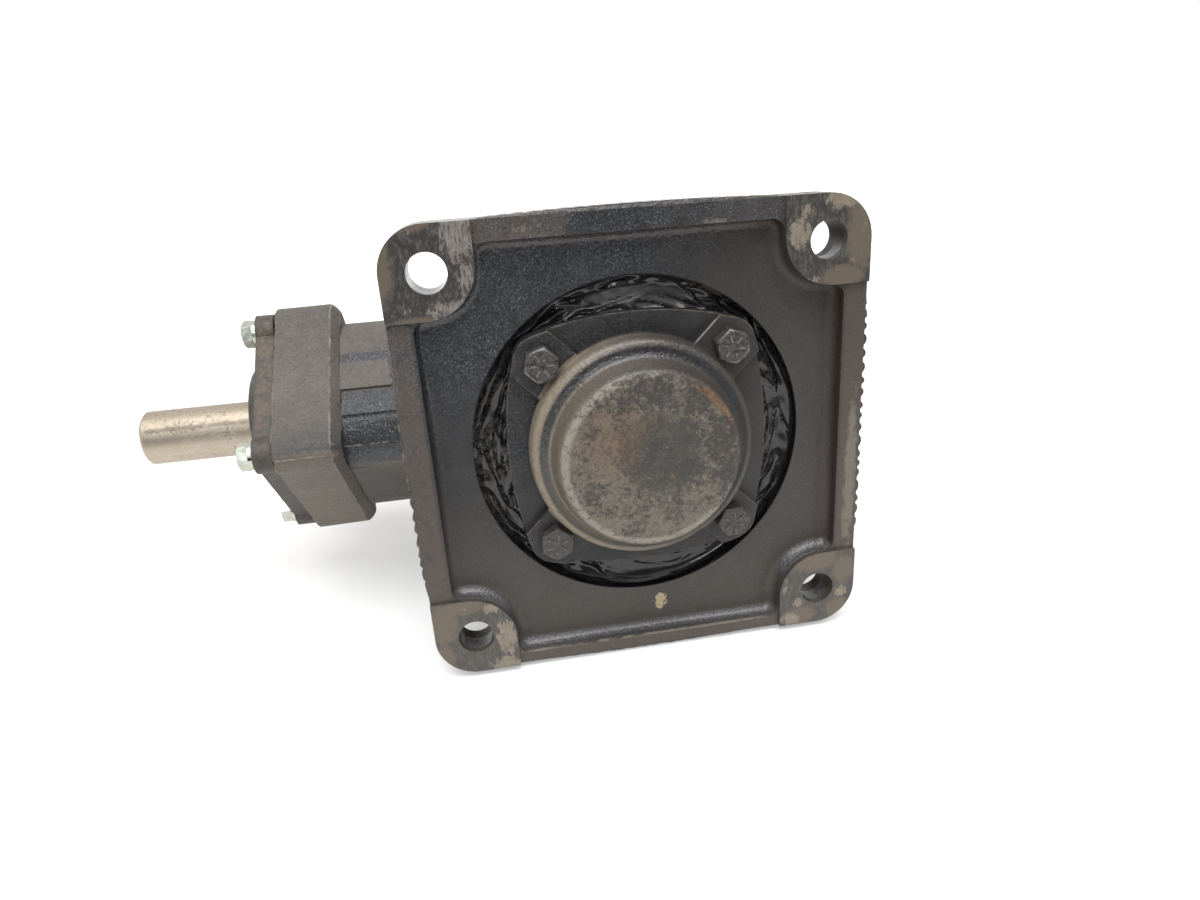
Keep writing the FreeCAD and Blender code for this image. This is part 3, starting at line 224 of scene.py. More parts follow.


# Tones of the paint, as linear colour, with painted shade, glints and highlights among them
COOL_PAINT = (0.0165, 0.0175, 0.0205)
WARM_PAINT = (0.064, 0.0545, 0.0475)
WALL_SHADE_BROWN = (0.038, 0.025, 0.018)
RIM_BROWN = (0.091, 0.073, 0.058)
PAD_FILM = (0.077, 0.068, 0.061)
DARK_FILM = (0.046, 0.042, 0.040)
GRAZED_FILM = (0.150, 0.136, 0.124)
OLIVE_FILM = (0.162, 0.130, 0.095)
PAINTED_SHADE_BLUE = (0.052, 0.055, 0.063)
WET_BLACK = (0.007, 0.007, 0.008)
WET_NECK = (0.012, 0.014, 0.019)
PAINTED_NECK_GLINT = (0.110, 0.128, 0.165)
PAINTED_GLINT = (0.155, 0.182, 0.245)
PAINTED_CREST_HIGHLIGHT = (0.150, 0.155, 0.170)
PAINTED_CAP_GLINT = (0.125, 0.142, 0.180)

# Tones of dust, crust and grains on the paint
DUST_GREY = (0.099, 0.090, 0.083)
DUST_TAN = (0.147, 0.129, 0.110)
TAN_CRUST = (0.235, 0.202, 0.158)
CRUST_DARK = (0.050, 0.042, 0.035)
LEVEL_DARK = (0.040, 0.036, 0.033)
TOP_DARK = (0.050, 0.041, 0.034)
TOP_DUST = (0.120, 0.100, 0.080)
NECK_GRAIN = (0.030, 0.027, 0.025)
DARK_GRAIN = (0.025, 0.022, 0.020)

# Tones of bare and rusted iron
BARE_TAN = (0.31, 0.265, 0.205)
BARE_IRON = (0.30, 0.280, 0.262)
PALE_EDGE = (0.34, 0.305, 0.255)
BOSS_LINE = (0.30, 0.30, 0.30)
CHIP_TAN = (0.46, 0.36, 0.23)
RUST = (0.215, 0.115, 0.055)
JOINT_RUST = (0.160, 0.112, 0.070)

# Tones of the dome
SHOULDER_TAN = (0.30, 0.25, 0.185)
GROOVE_TAN = (0.070, 0.060, 0.048)
FACE_DARK = (0.056, 0.050, 0.045)
FACE_PALE = (0.188, 0.158, 0.123)
FACE_DULL = (0.055, 0.051, 0.047)
FACE_WARM = (0.190, 0.112, 0.062)
FACE_STAR = (0.42, 0.39, 0.35)
RING_PALE = (0.35, 0.315, 0.265)

# Tones of the sealant, shaft, input and rear covers, and dark bolts, with a painted reflection on the shaft
# and a painted highlight on the bolts
SEALANT_FOLD = (0.018, 0.017, 0.017)
SEALANT_SMEAR = (0.105, 0.100, 0.098)
STRAW = (0.43, 0.37, 0.295)
STRAW_PALE = (0.52, 0.465, 0.385)
STRAW_STAIN = (0.29, 0.225, 0.155)
SHAFT_RUST = (0.19, 0.135, 0.09)
PAINTED_SHAFT_REFLECTION = (0.15, 0.125, 0.105)
COVER_DARK = (0.052, 0.046, 0.041)
COVER_DUST = (0.100, 0.086, 0.071)
BOLT_BLACK = (0.050, 0.046, 0.043)
BOLT_GREY = (0.105, 0.095, 0.086)
PAINTED_BOLT_HIGHLIGHT = (0.19, 0.185, 0.185)
BOLT_BARE = (0.32, 0.30, 0.28)

# Spots on the front: x, z, half width, half height and, in rows of several, the strength
FIELD_CHIP = (6.0, -76.5, 4.2, 5.4)
RIM_SMUDGES = ((90.0, -25.0, 4.2, 58.0, 1.0), (-40.0, 88.0, 20.0, 6.0, 0.6), (30.0, 86.0, 14.0, 2.4, 0.7))
BOSS_SPOT = (27.0, 42.0, 11.0, 10.0)
DULL_SPOT = (4.0, 3.0, 22.0, 24.0)
WARM_SPOT = (-14.0, 10.0, 22.0, 22.0)
RED_SPOTS = ((-13.0, 9.0, 8.0, 7.0, 1.0), (8.0, -7.0, 5.0, 4.0, 1.0), (-18.0, -8.0, 10.0, 8.0, 0.7))
ORANGE_SPOT = (26.0, 22.0, 22.0, 18.0)

# The same kind of spots on each pad, from its hole outwards: the corner, bare patches, then olive dust
PAD_SPOTS = (
    (-1, 1,
     ((12, 12, 10, 15, 1.0), (14, -3, 6, 11, 0.85), (8, -14, 14, 6, 0.95), (-4, 15, 6, 3, 0.45),
      (-9, -13, 6, 4, 0.6)),
     ((-17, 4, 7, 20, 1.0), (-6, 18, 14, 5, 1.0), (-6, -18, 12, 4, 1.0))),
    (1, 1,
     ((-12, 3, 7, 9, 1.05), (-9, 11, 4, 5, 0.9), (5, 15, 11, 6, 1.0), (14, 7, 6, 11, 0.55),
      (-7, -15, 9, 3, 0.75), (11, -8, 5, 6, 0.5)),
     ((13, 2, 9, 20, 1.0), (6, -14, 13, 6, 1.0), (7, 16, 11, 6, 1.0))),
    (-1, -1,
     ((13, -2, 6.5, 14, 1.05), (8, 13, 6, 4, 1.0), (11, -15, 10, 6, 1.0), (-4, 15, 5, 3, 0.6),
      (-9, -13, 5, 4, 0.5)),
     ((-13, 8, 9, 13, 1.0), (-4, 15, 13, 5, 1.0), (-14, -8, 6, 8, 1.0))),
    (1, -1,
     ((-12, -14, 7, 5, 1.0), (-9, -6, 4, 4, 0.9), (11, -3, 5, 5, 0.95), (-15, 4, 2.5, 10, 0.7),
      (0, 14, 6, 3, 0.5)),
     ((-2, 14, 17, 7, 1.0), (12, 8, 7, 10, 1.0), (-8, -13, 10, 7, 1.0), (10, -11, 8, 7, 1.0))),
)


def around_hole(corner_x, corner_z, rows):
    """Spots of a pad, moved from its hole to their place on the flange."""
    return [(corner_x * HOLE_PLACE + x, corner_z * HOLE_PLACE + z, wide, tall, strength)
            for x, z, wide, tall, strength in rows]


PAD_WEAR = [spot for x, z, bare, olive in PAD_SPOTS for spot in around_hole(x, z, bare)]
PAD_OLIVE = [spot for x, z, bare, olive in PAD_SPOTS for spot in around_hole(x, z, olive)]


# Grain that the case and the front cap share

def speckled(f):
    """Fine speckle of cast paint, with its light and its dark grains; the light grains also place painted
    glints.
    """
    speckle = f.noise(0.85, 3.0, 0.65, shift=2.5)
    return speckle, f.step(speckle, 0.53, 0.68), f.step(speckle, 0.47, 0.33)


# Finish of the case

def case_grain(f):
    """Noises that the zones of the case share."""
    light, dark = speckled(f)[1:]
    return SimpleNamespace(light=light, dark=dark, broad=f.noise(34.0, 3.0), fine=f.noise(6.0, 4.0, 0.62),
                           cast=f.noise(1.25, 1.5, 0.5), crumbs=f.noise(2.2, 5.0, 0.7, shift=5.0))


def flange_zones(f, grain, zone):
    """Shares of the flange's zones, from 0 to 1, and the distance outwards in millimetres."""
    zone.flange = f.step(f.y, FLANGE_END - 4.0, FLANGE_END, 1.0, 0.0)
    zone.outward = f.high(f.size(f.x), f.size(f.z))
    zone.pad = f.step(f.y, PAD_END, PAD_END + 0.3, 1.0, 0.0)
    zone.upper_left = f.step(f.z - f.x, 100.0, 120.0)
    zone.gloss = f.step((f.z - f.x) * 0.7, 10.0, 60.0) * f.step(f.z, -5.0, 45.0) * zone.flange
    zone.dusty = f.high(f.step(f.z, 15.0, -75.0), f.step(f.x, -10.0, 75.0) * 0.8)
    rim_depth = f.band(f.y, RIM_DEPTH - 0.6, RIM_DEPTH + 0.8, 0.3)
    zone.rim = rim_depth * f.step(zone.outward, RIM_INNER, RIM_INNER + 2.0)
    top = f.step(f.z, RIM_INNER - 4.0, RIM_INNER)
    zone.glossy_rim = zone.rim * top * f.step(f.x + (grain.fine - 0.5) * 30.0, -30.0, -18.0)
    zone.sides = f.step(zone.outward, FLANGE_HALF - 0.3, FLANGE_HALF + 0.4) * zone.flange
    inside = f.step(f.distance(f.x, f.z), OPENING_RADIUS + 0.2, OPENING_RADIUS + 0.5, 1.0, 0.0)
    zone.wall = inside * zone.flange
    rounded = f.step(f.upward(), 0.2, 0.6) * f.band(f.y, 3.2, 10.6, 0.5)
    zone.fillets = rounded * (1.0 - zone.wall) * (1.0 - zone.sides)


def neck_zones(f, grain, zone):
    """Shares of the zones of the neck and block, and distances across and out of their upper front face."""
    zone.outboard = f.step(f.x + (grain.fine - 0.5) * 16.0, -56.0, -98.0) * (1.0 - zone.flange)
    zone.block = f.step(f.x, BLOCK_BACK + 0.5, BLOCK_BACK - 0.1) * zone.outboard
    slant = math.sqrt(0.5)
    zone.across = (f.y - AXIS_DEPTH + f.z) * slant
    zone.facing = (f.z - f.y + AXIS_DEPTH) * slant
    below_rib = f.step(zone.across + (grain.fine - 0.5) * 6.0, -6.5, -9.0)
    above_rib = f.band(zone.across, 6.9, 12.0, 0.9)
    neck_face = f.step(zone.facing, 20.0, 26.0) * f.step(f.x, BLOCK_BACK - 1.5, BLOCK_BACK + 2.5)
    zone.wet_neck = f.high(below_rib, above_rib) * neck_face * zone.outboard


def field_paint(f, grain, zone):
    """Cool and glossy towards the upper left, dusty towards the lower right, with one chip, and painted
    shade in brown on the walls at the top and right.
    """
    paint = f.mix(zone.dusty, COOL_PAINT, WARM_PAINT)
    paint = f.mix(f.step(grain.fine + grain.broad, 0.9, 1.3) * 0.18, paint, DUST_GREY)
    # painted shade: the walls at the top and right of the field, facing away from the light, darkened to
    # brown
    shaded_walls = f.high(f.step(f.z, 79.5, 83.0), f.step(f.x, 80.0, 83.0)) * f.band(f.y, 3.0, 10.5, 0.8)
    paint = f.mix(shaded_walls * 0.85, paint, WALL_SHADE_BROWN)
    spot = f.blob(*FIELD_CHIP)
    chip = f.step(spot + f.noise(3.2, 3.0, 0.7, shift=1.0) * 2.4, 1.70, 1.78) * f.step(spot, 0.05, 0.15)
    return f.mix(chip * zone.flange, paint, CHIP_TAN)


def rim_paint(f, grain, zone, paint):
    """Brown and dusty, but cool and glossy along most of the top, with a pale lower lip."""
    browned = zone.rim * f.step(grain.fine, 0.2, 0.48) * (1.0 - zone.glossy_rim)
    paint = f.mix(browned * 0.85, paint, RIM_BROWN)
    smears = f.noise(2.6, 6.0, 0.75, (1, 1, 0.45), 2.0)
    smudge = f.step(f.spots(RIM_SMUDGES) * 0.5 + smears, 0.72, 0.95) * zone.rim
    paint = f.mix(smudge * 0.7, paint, TAN_CRUST)
    lip = f.band(f.z, -88.7, -88.3, 0.1) * f.band(f.x, -58.0, 52.0, 6.0) * f.step(f.y, 3.4, 2.8)
    return f.mix(lip * zone.flange * f.step(grain.fine, 0.35, 0.55) * 0.7, paint, PALE_EDGE)


def cast_grains(f, grain, zone, paint):
    """Fine grain of the casting under the paint."""
    off_pads = 1.0 - zone.pad
    paint = f.mix(grain.dark * off_pads * (0.40 - zone.dusty * 0.22 + zone.gloss * 0.35), paint, WET_BLACK)
    return f.mix(grain.light * zone.flange * off_pads * (1.0 - zone.gloss) * 0.10, paint, TAN_CRUST)


def side_crust(f, grain, zone):
    """Outer sides of the flange, crusted where the flash was left, and plainer above and below."""
    crust = f.mix(f.step(grain.fine + grain.crumbs, 0.80, 1.25) * 0.7, CRUST_DARK, DUST_TAN)
    tips = f.step(zone.outward + (grain.fine - 0.5) * 1.6, FLANGE_HALF + 0.7, FLANGE_HALF + 1.4)
    crust = f.mix(tips * f.step(grain.crumbs, 0.40, 0.60) * 0.4, crust, BARE_TAN)
    level = f.step(f.size(f.z), FLANGE_HALF - 0.3, FLANGE_HALF + 0.3)
    crust = f.mix(level, crust, f.mix(f.step(grain.fine, 0.35, 0.6), LEVEL_DARK, RIM_BROWN))
    top = f.step(f.upward(), 0.3, 0.7) * level
    return f.mix(top, crust, f.mix(f.step(grain.crumbs, 0.38, 0.62), TOP_DARK, TOP_DUST))


def pad_paint(f, grain, zone, paint):
    """Thin paint, grazed all over and worn through in patches with crisp edges."""
    graze = f.noise(1.5, 6.0, 0.78, (1.2, 1, 0.5), 6.0)
    film = f.mix(f.step(f.z, -20.0, 20.0), PAD_FILM, DARK_FILM)
    film = f.mix(f.step(graze, 0.46, 0.64) * 0.7, film, GRAZED_FILM)
    olive = f.step(f.spots(PAD_OLIVE) * 0.75 + grain.crumbs * 0.8, 0.60, 1.0)
    film = f.mix(olive * 0.85, film, OLIVE_FILM)
    patch = f.noise(3.0, 7.0, 0.78, (1.4, 1, 0.6), 4.0)
    streaks = f.noise(1.8, 6.0, 0.75, (2.4, 1, 0.35), 3.0)
    bare = f.step(f.spots(PAD_WEAR) * 0.40 + patch, 0.74, 0.79)
    bare = bare * (1.0 - f.step(streaks, 0.50, 0.40) * (0.25 + zone.upper_left * 0.65))
    metal = f.mix(zone.upper_left, BARE_TAN, BARE_IRON)
    metal = f.mix(f.step(grain.crumbs, 0.42, 0.62), f.mix(0.45, metal, OLIVE_FILM), metal)
    paint = f.mix(zone.pad, paint, film)
    return f.mix(bare * zone.pad * 0.9, paint, metal)


def neck_dust(f, grain, zone):
    """Dusty neck and block, with painted shade low on the block's front, and cool glossy stretches on the
    neck's upper front face with painted glints on them.
    """
    dust = f.mix(f.step(grain.broad * 0.6 + grain.crumbs * 0.7, 0.45, 0.85), DUST_GREY, DUST_TAN)
    dust = f.mix(f.step(zone.facing, 20.0, 0.0) * 0.25, dust, WARM_PAINT)
    # painted shade on the lower front of the block
    shade = f.step(zone.across + (grain.fine - 0.5) * 10.0, -22.0, -33.0) * f.step(zone.facing, 10.0, 20.0)
    dust = f.mix(shade * zone.block * 0.5, dust, PAINTED_SHADE_BLUE)
    ground = f.step(zone.across + (grain.crumbs - 0.5) * 6.0, -36.4, -38.6) * zone.block
    dust = f.mix(ground * 0.6, dust, TAN_CRUST)
    dust = f.mix(grain.light * 0.30, dust, TAN_CRUST)
    dust = f.mix(grain.dark * 0.45, dust, NECK_GRAIN)
    # painted glints: light specks on the neck's glossy stretches
    return f.mix(zone.wet_neck * 0.9, dust, f.mix(grain.light, WET_NECK, PAINTED_NECK_GLINT))


def rubbed_edges(f, zone, paint):
    """Edges rubbed bare, brightest at the upper left of the flange."""
    rubbed = f.attribute("worn_edge") * f.step(f.noise(4.0, 5.0, 0.7, shift=9.0), 0.42, 0.58)
    bright = f.mix(zone.outboard, TAN_CRUST, PALE_EDGE)
    bright = f.mix(zone.upper_left * zone.flange, bright, BARE_IRON)
    return f.mix(rubbed * (1.0 - zone.wall) * (0.55 + zone.pad * 0.35), paint, bright)


def add_painted_glints(f, zone, paint):
    """Painted glints on the wet paint, and a painted highlight in streaks along the crests of the upward
    fillets.
    """
    # painted glints: bright bluish specks in clusters on the glossy zones and fillets
    clusters = f.step(f.noise(9.0, 4.0, 0.6, shift=12.0), 0.34, 0.58, 0.25, 1.0)
    sparks = f.step(f.noise(0.62, 3.0, 0.7, (1.3, 1, 0.8), 15.0), 0.52, 0.70) * clusters
    painted_glints = sparks * f.most(zone.gloss ** 1.6, zone.glossy_rim, zone.fillets)
    paint = f.mix(painted_glints * (1.0 - zone.pad) * (1.0 - zone.wall) * 0.95, paint, PAINTED_GLINT)
    # painted highlight: lit crests of the upward fillets, broken into streaks
    highlight_streaks = f.step(f.noise(0.9, 3.0, 0.65, (1.8, 0.35, 0.35), 8.0), 0.36, 0.66)
    crest_highlight = f.band(f.upward(), 0.50, 0.94, 0.12) * zone.fillets * (0.25 + highlight_streaks * 0.75)
    return f.mix(crest_highlight * 0.85, paint, PAINTED_CREST_HIGHLIGHT)


def case_finish():
    """Painted case, zone by zone, then its rubbed edges, its painted glints and its painted highlights."""
    f = Finish("case_paint", "case_iron")
    grain = case_grain(f)
    zone = SimpleNamespace()
    flange_zones(f, grain, zone)
    neck_zones(f, grain, zone)
    paint = field_paint(f, grain, zone)
    paint = rim_paint(f, grain, zone, paint)
    paint = cast_grains(f, grain, zone, paint)
    paint = f.mix(zone.sides, paint, side_crust(f, grain, zone))
    paint = pad_paint(f, grain, zone, paint)
    paint = f.mix(zone.outboard, paint, neck_dust(f, grain, zone))
    paint = f.mix(zone.wall, paint, WET_BLACK)
    paint = rubbed_edges(f, zone, paint)
    paint = add_painted_glints(f, zone, paint)
    shine = f.most(zone.gloss, zone.glossy_rim, zone.fillets)
    rough = f.step(grain.fine, 0.3, 0.7, 0.46, 0.58) - shine * 0.18 - zone.wall * 0.28
    rough = rough - zone.wet_neck * 0.14 + zone.outboard * (1.0 - zone.wet_neck) * 0.12
    height = grain.cast * (0.45 + shine * 1.2 + zone.wet_neck * 1.2)
    height = height * (1.0 - zone.pad * 0.85) * (1.0 - zone.wall * 0.9)
    height = height + grain.fine * 0.3 + zone.block * grain.crumbs * 0.5
    coat = shine * 0.6 + zone.wet_neck * 0.15 + zone.flange * 0.03
    return f.done(paint, rough, f.bump(height, 0.5), coat=coat, coat_rough=0.2)


# Finish of the front cap

def cap_grain(f):
    """Noises that the zones of the cap share."""
    speckle, light, dark = speckled(f)
    return SimpleNamespace(speckle=speckle, light=light, dark=dark, fine=f.noise(5.0, 4.0, 0.62),
                           cast=f.noise(1.25, 1.5), specks=f.noise(2.0, 5.0, 0.75, shift=3.0),
                           blotch=f.noise(11.0, 4.0, 0.6, shift=8.0))


def cap_zones(f):
    """Shares of the cap's zones, from 0 to 1, and the distance from its axis in millimetres."""
    zone = SimpleNamespace()
    zone.away = f.distance(f.x, f.z)
    zone.left = f.step(f.x + f.z * 0.2, 25.0, -35.0)
    zone.low = f.step(f.z, 5.0, -30.0)
    zone.upper_left = f.step((f.z - f.x) * 0.7, 5.0, 40.0)
    zone.dome = f.step(zone.away, DOME_RADIUS + 1.2, DOME_RADIUS + 0.5) * f.step(f.y, 8.0, 5.0)
    groove = f.band(zone.away, DRUM_RADIUS + 0.5, DRUM_RADIUS + 4.2, 0.7)
    zone.groove = groove * f.step(f.y, -2.2, -1.4, 1.0, 0.25) * zone.dome
    zone.face = f.step(f.y, FACE_DEPTH + 1.9, FACE_DEPTH + 0.5)
    zone.ring = f.band(zone.away, FACE_RADIUS - 3.6, FACE_RADIUS + 0.4, 1.0) * zone.face
    zone.shoulder = zone.dome * (1.0 - zone.face) * f.step(f.z, 10.0, 36.0) * f.step(f.y, 4.0, -1.0)
    return zone


def plate_paint(f, grain):
    """Plate and bosses: even paint with rubbed edges, and one bright edge of a boss."""
    worn = grain.fine * 0.25 + grain.blotch * 0.75 + f.step(f.x, 10.0, 55.0) * 0.25
    paint = f.mix(f.step(worn, 0.30, 0.80) * 0.65, COOL_PAINT, WARM_PAINT)
    edges = f.attribute("worn_edge")
    paint = f.mix(edges * f.step(grain.fine, 0.42, 0.58) * 0.6, paint, OLIVE_FILM)
    return f.mix(f.step(f.blob(*BOSS_SPOT), 0.1, 0.5) * edges * 0.8, paint, BOSS_LINE)


def dome_paint(f, grain, zone, paint):
    """Tan shoulders, darker at the top and right, with a dark groove inside them."""
    tan = f.mix(f.step(grain.fine, 0.35, 0.6) * f.high(zone.left, zone.low * 0.7), WARM_PAINT, DUST_TAN)
    tan = f.mix(zone.left * f.step(grain.specks, 0.28, 0.50) * 0.9, tan, SHOULDER_TAN)
    tan = f.mix(f.step(zone.away, DRUM_RADIUS + 0.5, DRUM_RADIUS - 0.4) * 0.55, tan, WARM_PAINT)
    paint = f.mix(zone.dome, paint, tan)
    dark = f.mix(zone.left * (1.0 - zone.upper_left), COOL_PAINT, GROOVE_TAN)
    return f.mix(zone.groove * 0.9, paint, dark)


def face_mottle(f, grain, zone):
    """Speckled face of the dome, darker right of its centre and rusty left of it."""
    specks = grain.specks
    blotch = grain.blotch
    uneven = grain.speckle - 0.5
    pale = specks * 0.8 + blotch * 0.7 + f.high(zone.left, zone.low) * 0.12 + grain.speckle * 0.2
    mottle = f.mix(f.step(pale, 0.80, 1.04), FACE_DARK, FACE_PALE)
    dull = f.step(f.blob(*DULL_SPOT) + grain.fine * 0.6, 0.65, 1.0)
    mottle = f.mix(dull * 0.75, mottle, FACE_DULL)
    warm = f.step(f.blob(*WARM_SPOT) * 0.35 + blotch * 0.5 + specks * 0.5, 0.62, 0.85)
    mottle = f.mix(warm * 0.35, mottle, FACE_WARM)
    red = f.step(f.spots(RED_SPOTS) * 0.4 + specks + uneven * 0.4, 0.80, 1.0)
    mottle = f.mix(red * 0.55, mottle, RUST)
    return f.mix(grain.dark * 0.45, mottle, DARK_GRAIN)


def face_wear(f, grain, zone, paint):
    """Bright and rusty wear around the edge of the dome's face, and pale grains all over it."""
    low_left = f.high(zone.left, f.step(f.z, -10.0, -32.0))
    bright = zone.ring * f.step(grain.specks + low_left * 0.22, 0.55, 0.72)
    paint = f.mix(bright * 0.75, paint, RING_PALE)
    rusty = f.blob(*ORANGE_SPOT) * 0.4 + grain.specks + (grain.speckle - 0.5) * 0.5
    paint = f.mix(zone.ring * f.step(rusty, 0.72, 0.92) * 0.7, paint, RUST)
    stars = f.step(grain.speckle + (grain.specks - 0.5) * 0.3, 0.66, 0.74) * zone.face
    return f.mix(stars * 0.7, paint, FACE_STAR)


def cap_finish():
    """Painted plate with its bosses, then the dome and its worn face, then painted glints on its glossy
    parts.
    """
    f = Finish("cap_paint", "cap_iron")
    grain = cap_grain(f)
    zone = cap_zones(f)
    paint = plate_paint(f, grain)
    paint = dome_paint(f, grain, zone, paint)
    paint = f.mix(zone.face, paint, face_mottle(f, grain, zone))
    paint = face_wear(f, grain, zone, paint)
    paint = f.mix(grain.dark * (1.0 - zone.face) * (0.4 - zone.dome * 0.2), paint, WET_BLACK)
    wet = f.high(zone.groove * zone.upper_left, zone.shoulder * 0.8)
    plate = (1.0 - zone.dome) * zone.upper_left
    shine = f.high(wet, plate * 0.3)
    # painted glints on the glossy groove, shoulders and upper left of the plate
    paint = f.mix(grain.light * f.high(shine, plate * 0.8) * 0.55, paint, PAINTED_CAP_GLINT)
    rough = f.step(grain.fine, 0.3, 0.7, 0.44, 0.58) - shine * 0.20
    height = grain.cast * (0.4 + shine * 1.2) + grain.specks * zone.face * 0.7
    height = height + grain.fine * zone.shoulder * 0.3
    return f.done(paint, rough, f.bump(height, 0.4), coat=wet * 0.5, coat_rough=0.2)


# Finishes of the smaller pieces

def sealant_finish():
    """Wet black, with a smear, dust and crumbs where the bead is marked for them."""
    f = Finish("sealant_black", "sealant")
    fine = f.noise(3.0, 4.0, 0.65)
    smear = f.attribute("smear") * f.step(f.noise(5.0, 4.0, 0.65, (0.5, 1, 1.6), 2.0), 0.40, 0.50)
    dust = f.attribute("dusty") * f.step(fine, 0.42, 0.60)
    crumb = f.attribute("crumb") * f.step(fine, 0.45, 0.55)
    tone = f.mix(f.step(fine, 0.4, 0.7), WET_BLACK, SEALANT_FOLD)
    tone = f.mix(smear * 0.85, tone, SEALANT_SMEAR)
    tone = f.mix(dust * 0.7, tone, WARM_PAINT)
    tone = f.mix(crumb, tone, DUST_TAN)
    rough = 0.17 + f.most(smear, dust, crumb) * 0.40
    return f.done(tone, rough, f.bump(fine, 0.10), coat=0.3, coat_rough=0.1)


def shaft_finish():
    """Ground steel gone straw yellow, with stains, rust and a painted reflection: one dark band along it.
    """
    f = Finish("ground_shaft", "shaft_steel")
    lines = f.noise(0.5, 2.0, 0.6, (2.6, 0.25, 0.25))
    cloud = f.noise(7.0, 5.0, 0.65)
    specks = f.noise(1.2, 5.0, 0.75, shift=6.0)
    upper = f.step(f.z, -6.0, 6.0)
    stain = f.step(cloud * 0.6 + specks * 0.6 + upper * 0.06, 0.58, 0.80)
    rust = f.step(specks + (cloud - 0.5) * 0.5 + upper * 0.05, 0.58, 0.72)
    # painted reflection: a dark band along the shaft at a fixed height
    reflection_band = f.band(f.z + (specks - 0.5) * 1.2, REFLECTION_BAND_HEIGHT - 0.8, REFLECTION_BAND_HEIGHT + 0.8, 0.5)
    tone = f.mix(f.step(cloud, 0.35, 0.65), STRAW, STRAW_PALE)
    tone = f.mix(stain * 0.45, tone, STRAW_STAIN)
    tone = f.mix(rust * 0.6, tone, SHAFT_RUST)
    tone = f.mix(reflection_band * f.step(cloud, 0.25, 0.50) * 0.55, tone, PAINTED_SHAFT_REFLECTION)
    rough = f.step(cloud, 0.3, 0.7, 0.44, 0.54) + rust * 0.15
    metal = 1.0 - f.high(rust, stain * 0.5) * 0.6
    return f.done(tone, rough, f.bump(lines * 0.3 + specks * 0.4, 0.02), metal)


def cover_finish():
    """Dusty paint, rusty at the joint with the block."""
    f = Finish("cover_paint", "cover_iron")
    fine = f.noise(6.0, 4.0, 0.6)
    cast = f.noise(1.25, 1.5)
    crumbs = f.noise(2.2, 5.0, 0.7, shift=5.0)
    tone = f.mix(f.step(fine, 0.35, 0.68), COVER_DARK, COVER_DUST)
    joint = f.band(f.x, -160.5, -152.0, 1.0) * f.step(f.z, 0.0, 25.0)
    tone = f.mix(joint * f.step(fine * 0.6 + crumbs, 0.65, 0.95) * 0.75, tone, JOINT_RUST)
    tone = f.mix(f.step(crumbs, 0.50, 0.36) * 0.5, tone, DARK_GRAIN)
    tone = f.mix(f.attribute("worn_edge") * f.step(fine, 0.40, 0.58) * 0.6, tone, TAN_CRUST)
    rough = f.step(fine, 0.3, 0.7, 0.46, 0.60)
    return f.done(tone, rough, f.bump(cast * 0.6 + fine * 0.5, 0.35))


def bolt_finish():
    """Blackened steel, with painted highlights on the upper heads, whose rubbed edges are brighter too."""
    f = Finish("black_bolt", "dark_bolt_steel")
    fine = f.noise(1.6, 4.0, 0.65)
    grain = f.noise(1.0, 2.0)
    upper = f.step(f.z, -10.0, 15.0)
    tone = f.mix(f.step(fine, 0.36, 0.62), BOLT_BLACK, BOLT_GREY)
    # painted highlight: lighter patches on the upper heads
    tone = f.mix(upper * f.step(fine, 0.30, 0.55) * 0.6, tone, PAINTED_BOLT_HIGHLIGHT)
    rubbed = f.attribute("worn_edge") * f.step(fine, 0.32, 0.50) * (0.2 + upper * 0.6)
    tone = f.mix(rubbed, tone, BOLT_BARE)
    rough = f.step(fine, 0.3, 0.7, 0.40, 0.52) - upper * 0.14
    return f.done(tone, rough, f.bump(fine * 0.5 + grain * 0.5, 0.03), 0.3 + upper * 0.3)


def plain_finish(slot, name, first, second, rough, metal, span, depth):
    """Two tones of one metal, rubber or paper."""
    f = Finish(name, slot)
    fine = f.noise(span, 4.0, 0.6)
    grain = f.noise(1.3, 1.5)
    tone = f.mix(f.step(fine, 0.38, 0.64), first, second)
    uneven = f.step(fine, 0.3, 0.7, rough - 0.06, rough + 0.08)
    return f.done(tone, uneven, f.bump(fine * 0.6 + grain * 0.6, depth), metal)


# Finishes of two tones: slot, name, tones, roughness, metal, span of the tones and depth of the grain
PLAIN_FINISHES = (
    ("zinc_bolt_steel", "zinc_bolt", (0.45, 0.465, 0.41), (0.56, 0.57, 0.50), 0.30, 0.85, 3.0, 0.05),
    ("gear_steel", "cut_gear", (0.30, 0.29, 0.28), (0.40, 0.39, 0.37), 0.35, 0.95, 6.0, 0.1),
    ("bearing_steel", "bearing_race", (0.52, 0.52, 0.52), (0.60, 0.60, 0.60), 0.2, 1.0, 6.0, 0.02),
    ("cage_steel", "pressed_cage", (0.36, 0.34, 0.30), (0.44, 0.42, 0.38), 0.4, 0.9, 6.0, 0.1),
    ("spring_steel", "spring", (0.16, 0.16, 0.16), (0.24, 0.24, 0.24), 0.4, 0.9, 6.0, 0.1),
    ("plug_steel", "plug", (0.08, 0.08, 0.08), (0.14, 0.13, 0.12), 0.45, 0.6, 6.0, 0.1),
    ("seal_rubber", "seal_lip", (0.020, 0.020, 0.020), (0.034, 0.032, 0.030), 0.6, 0.0, 6.0, 0.1),
    ("gasket_paper", "gasket_sheet", (0.055, 0.046, 0.036), (0.085, 0.072, 0.055), 0.85, 0.0, 6.0, 0.1),
)
FINISHES = {finish.slot: finish for finish in (
    case_finish(), cap_finish(), cover_finish(), bolt_finish(), shaft_finish(), sealant_finish(),
    *[plain_finish(*row) for row in PLAIN_FINISHES])}


# Making of the pieces

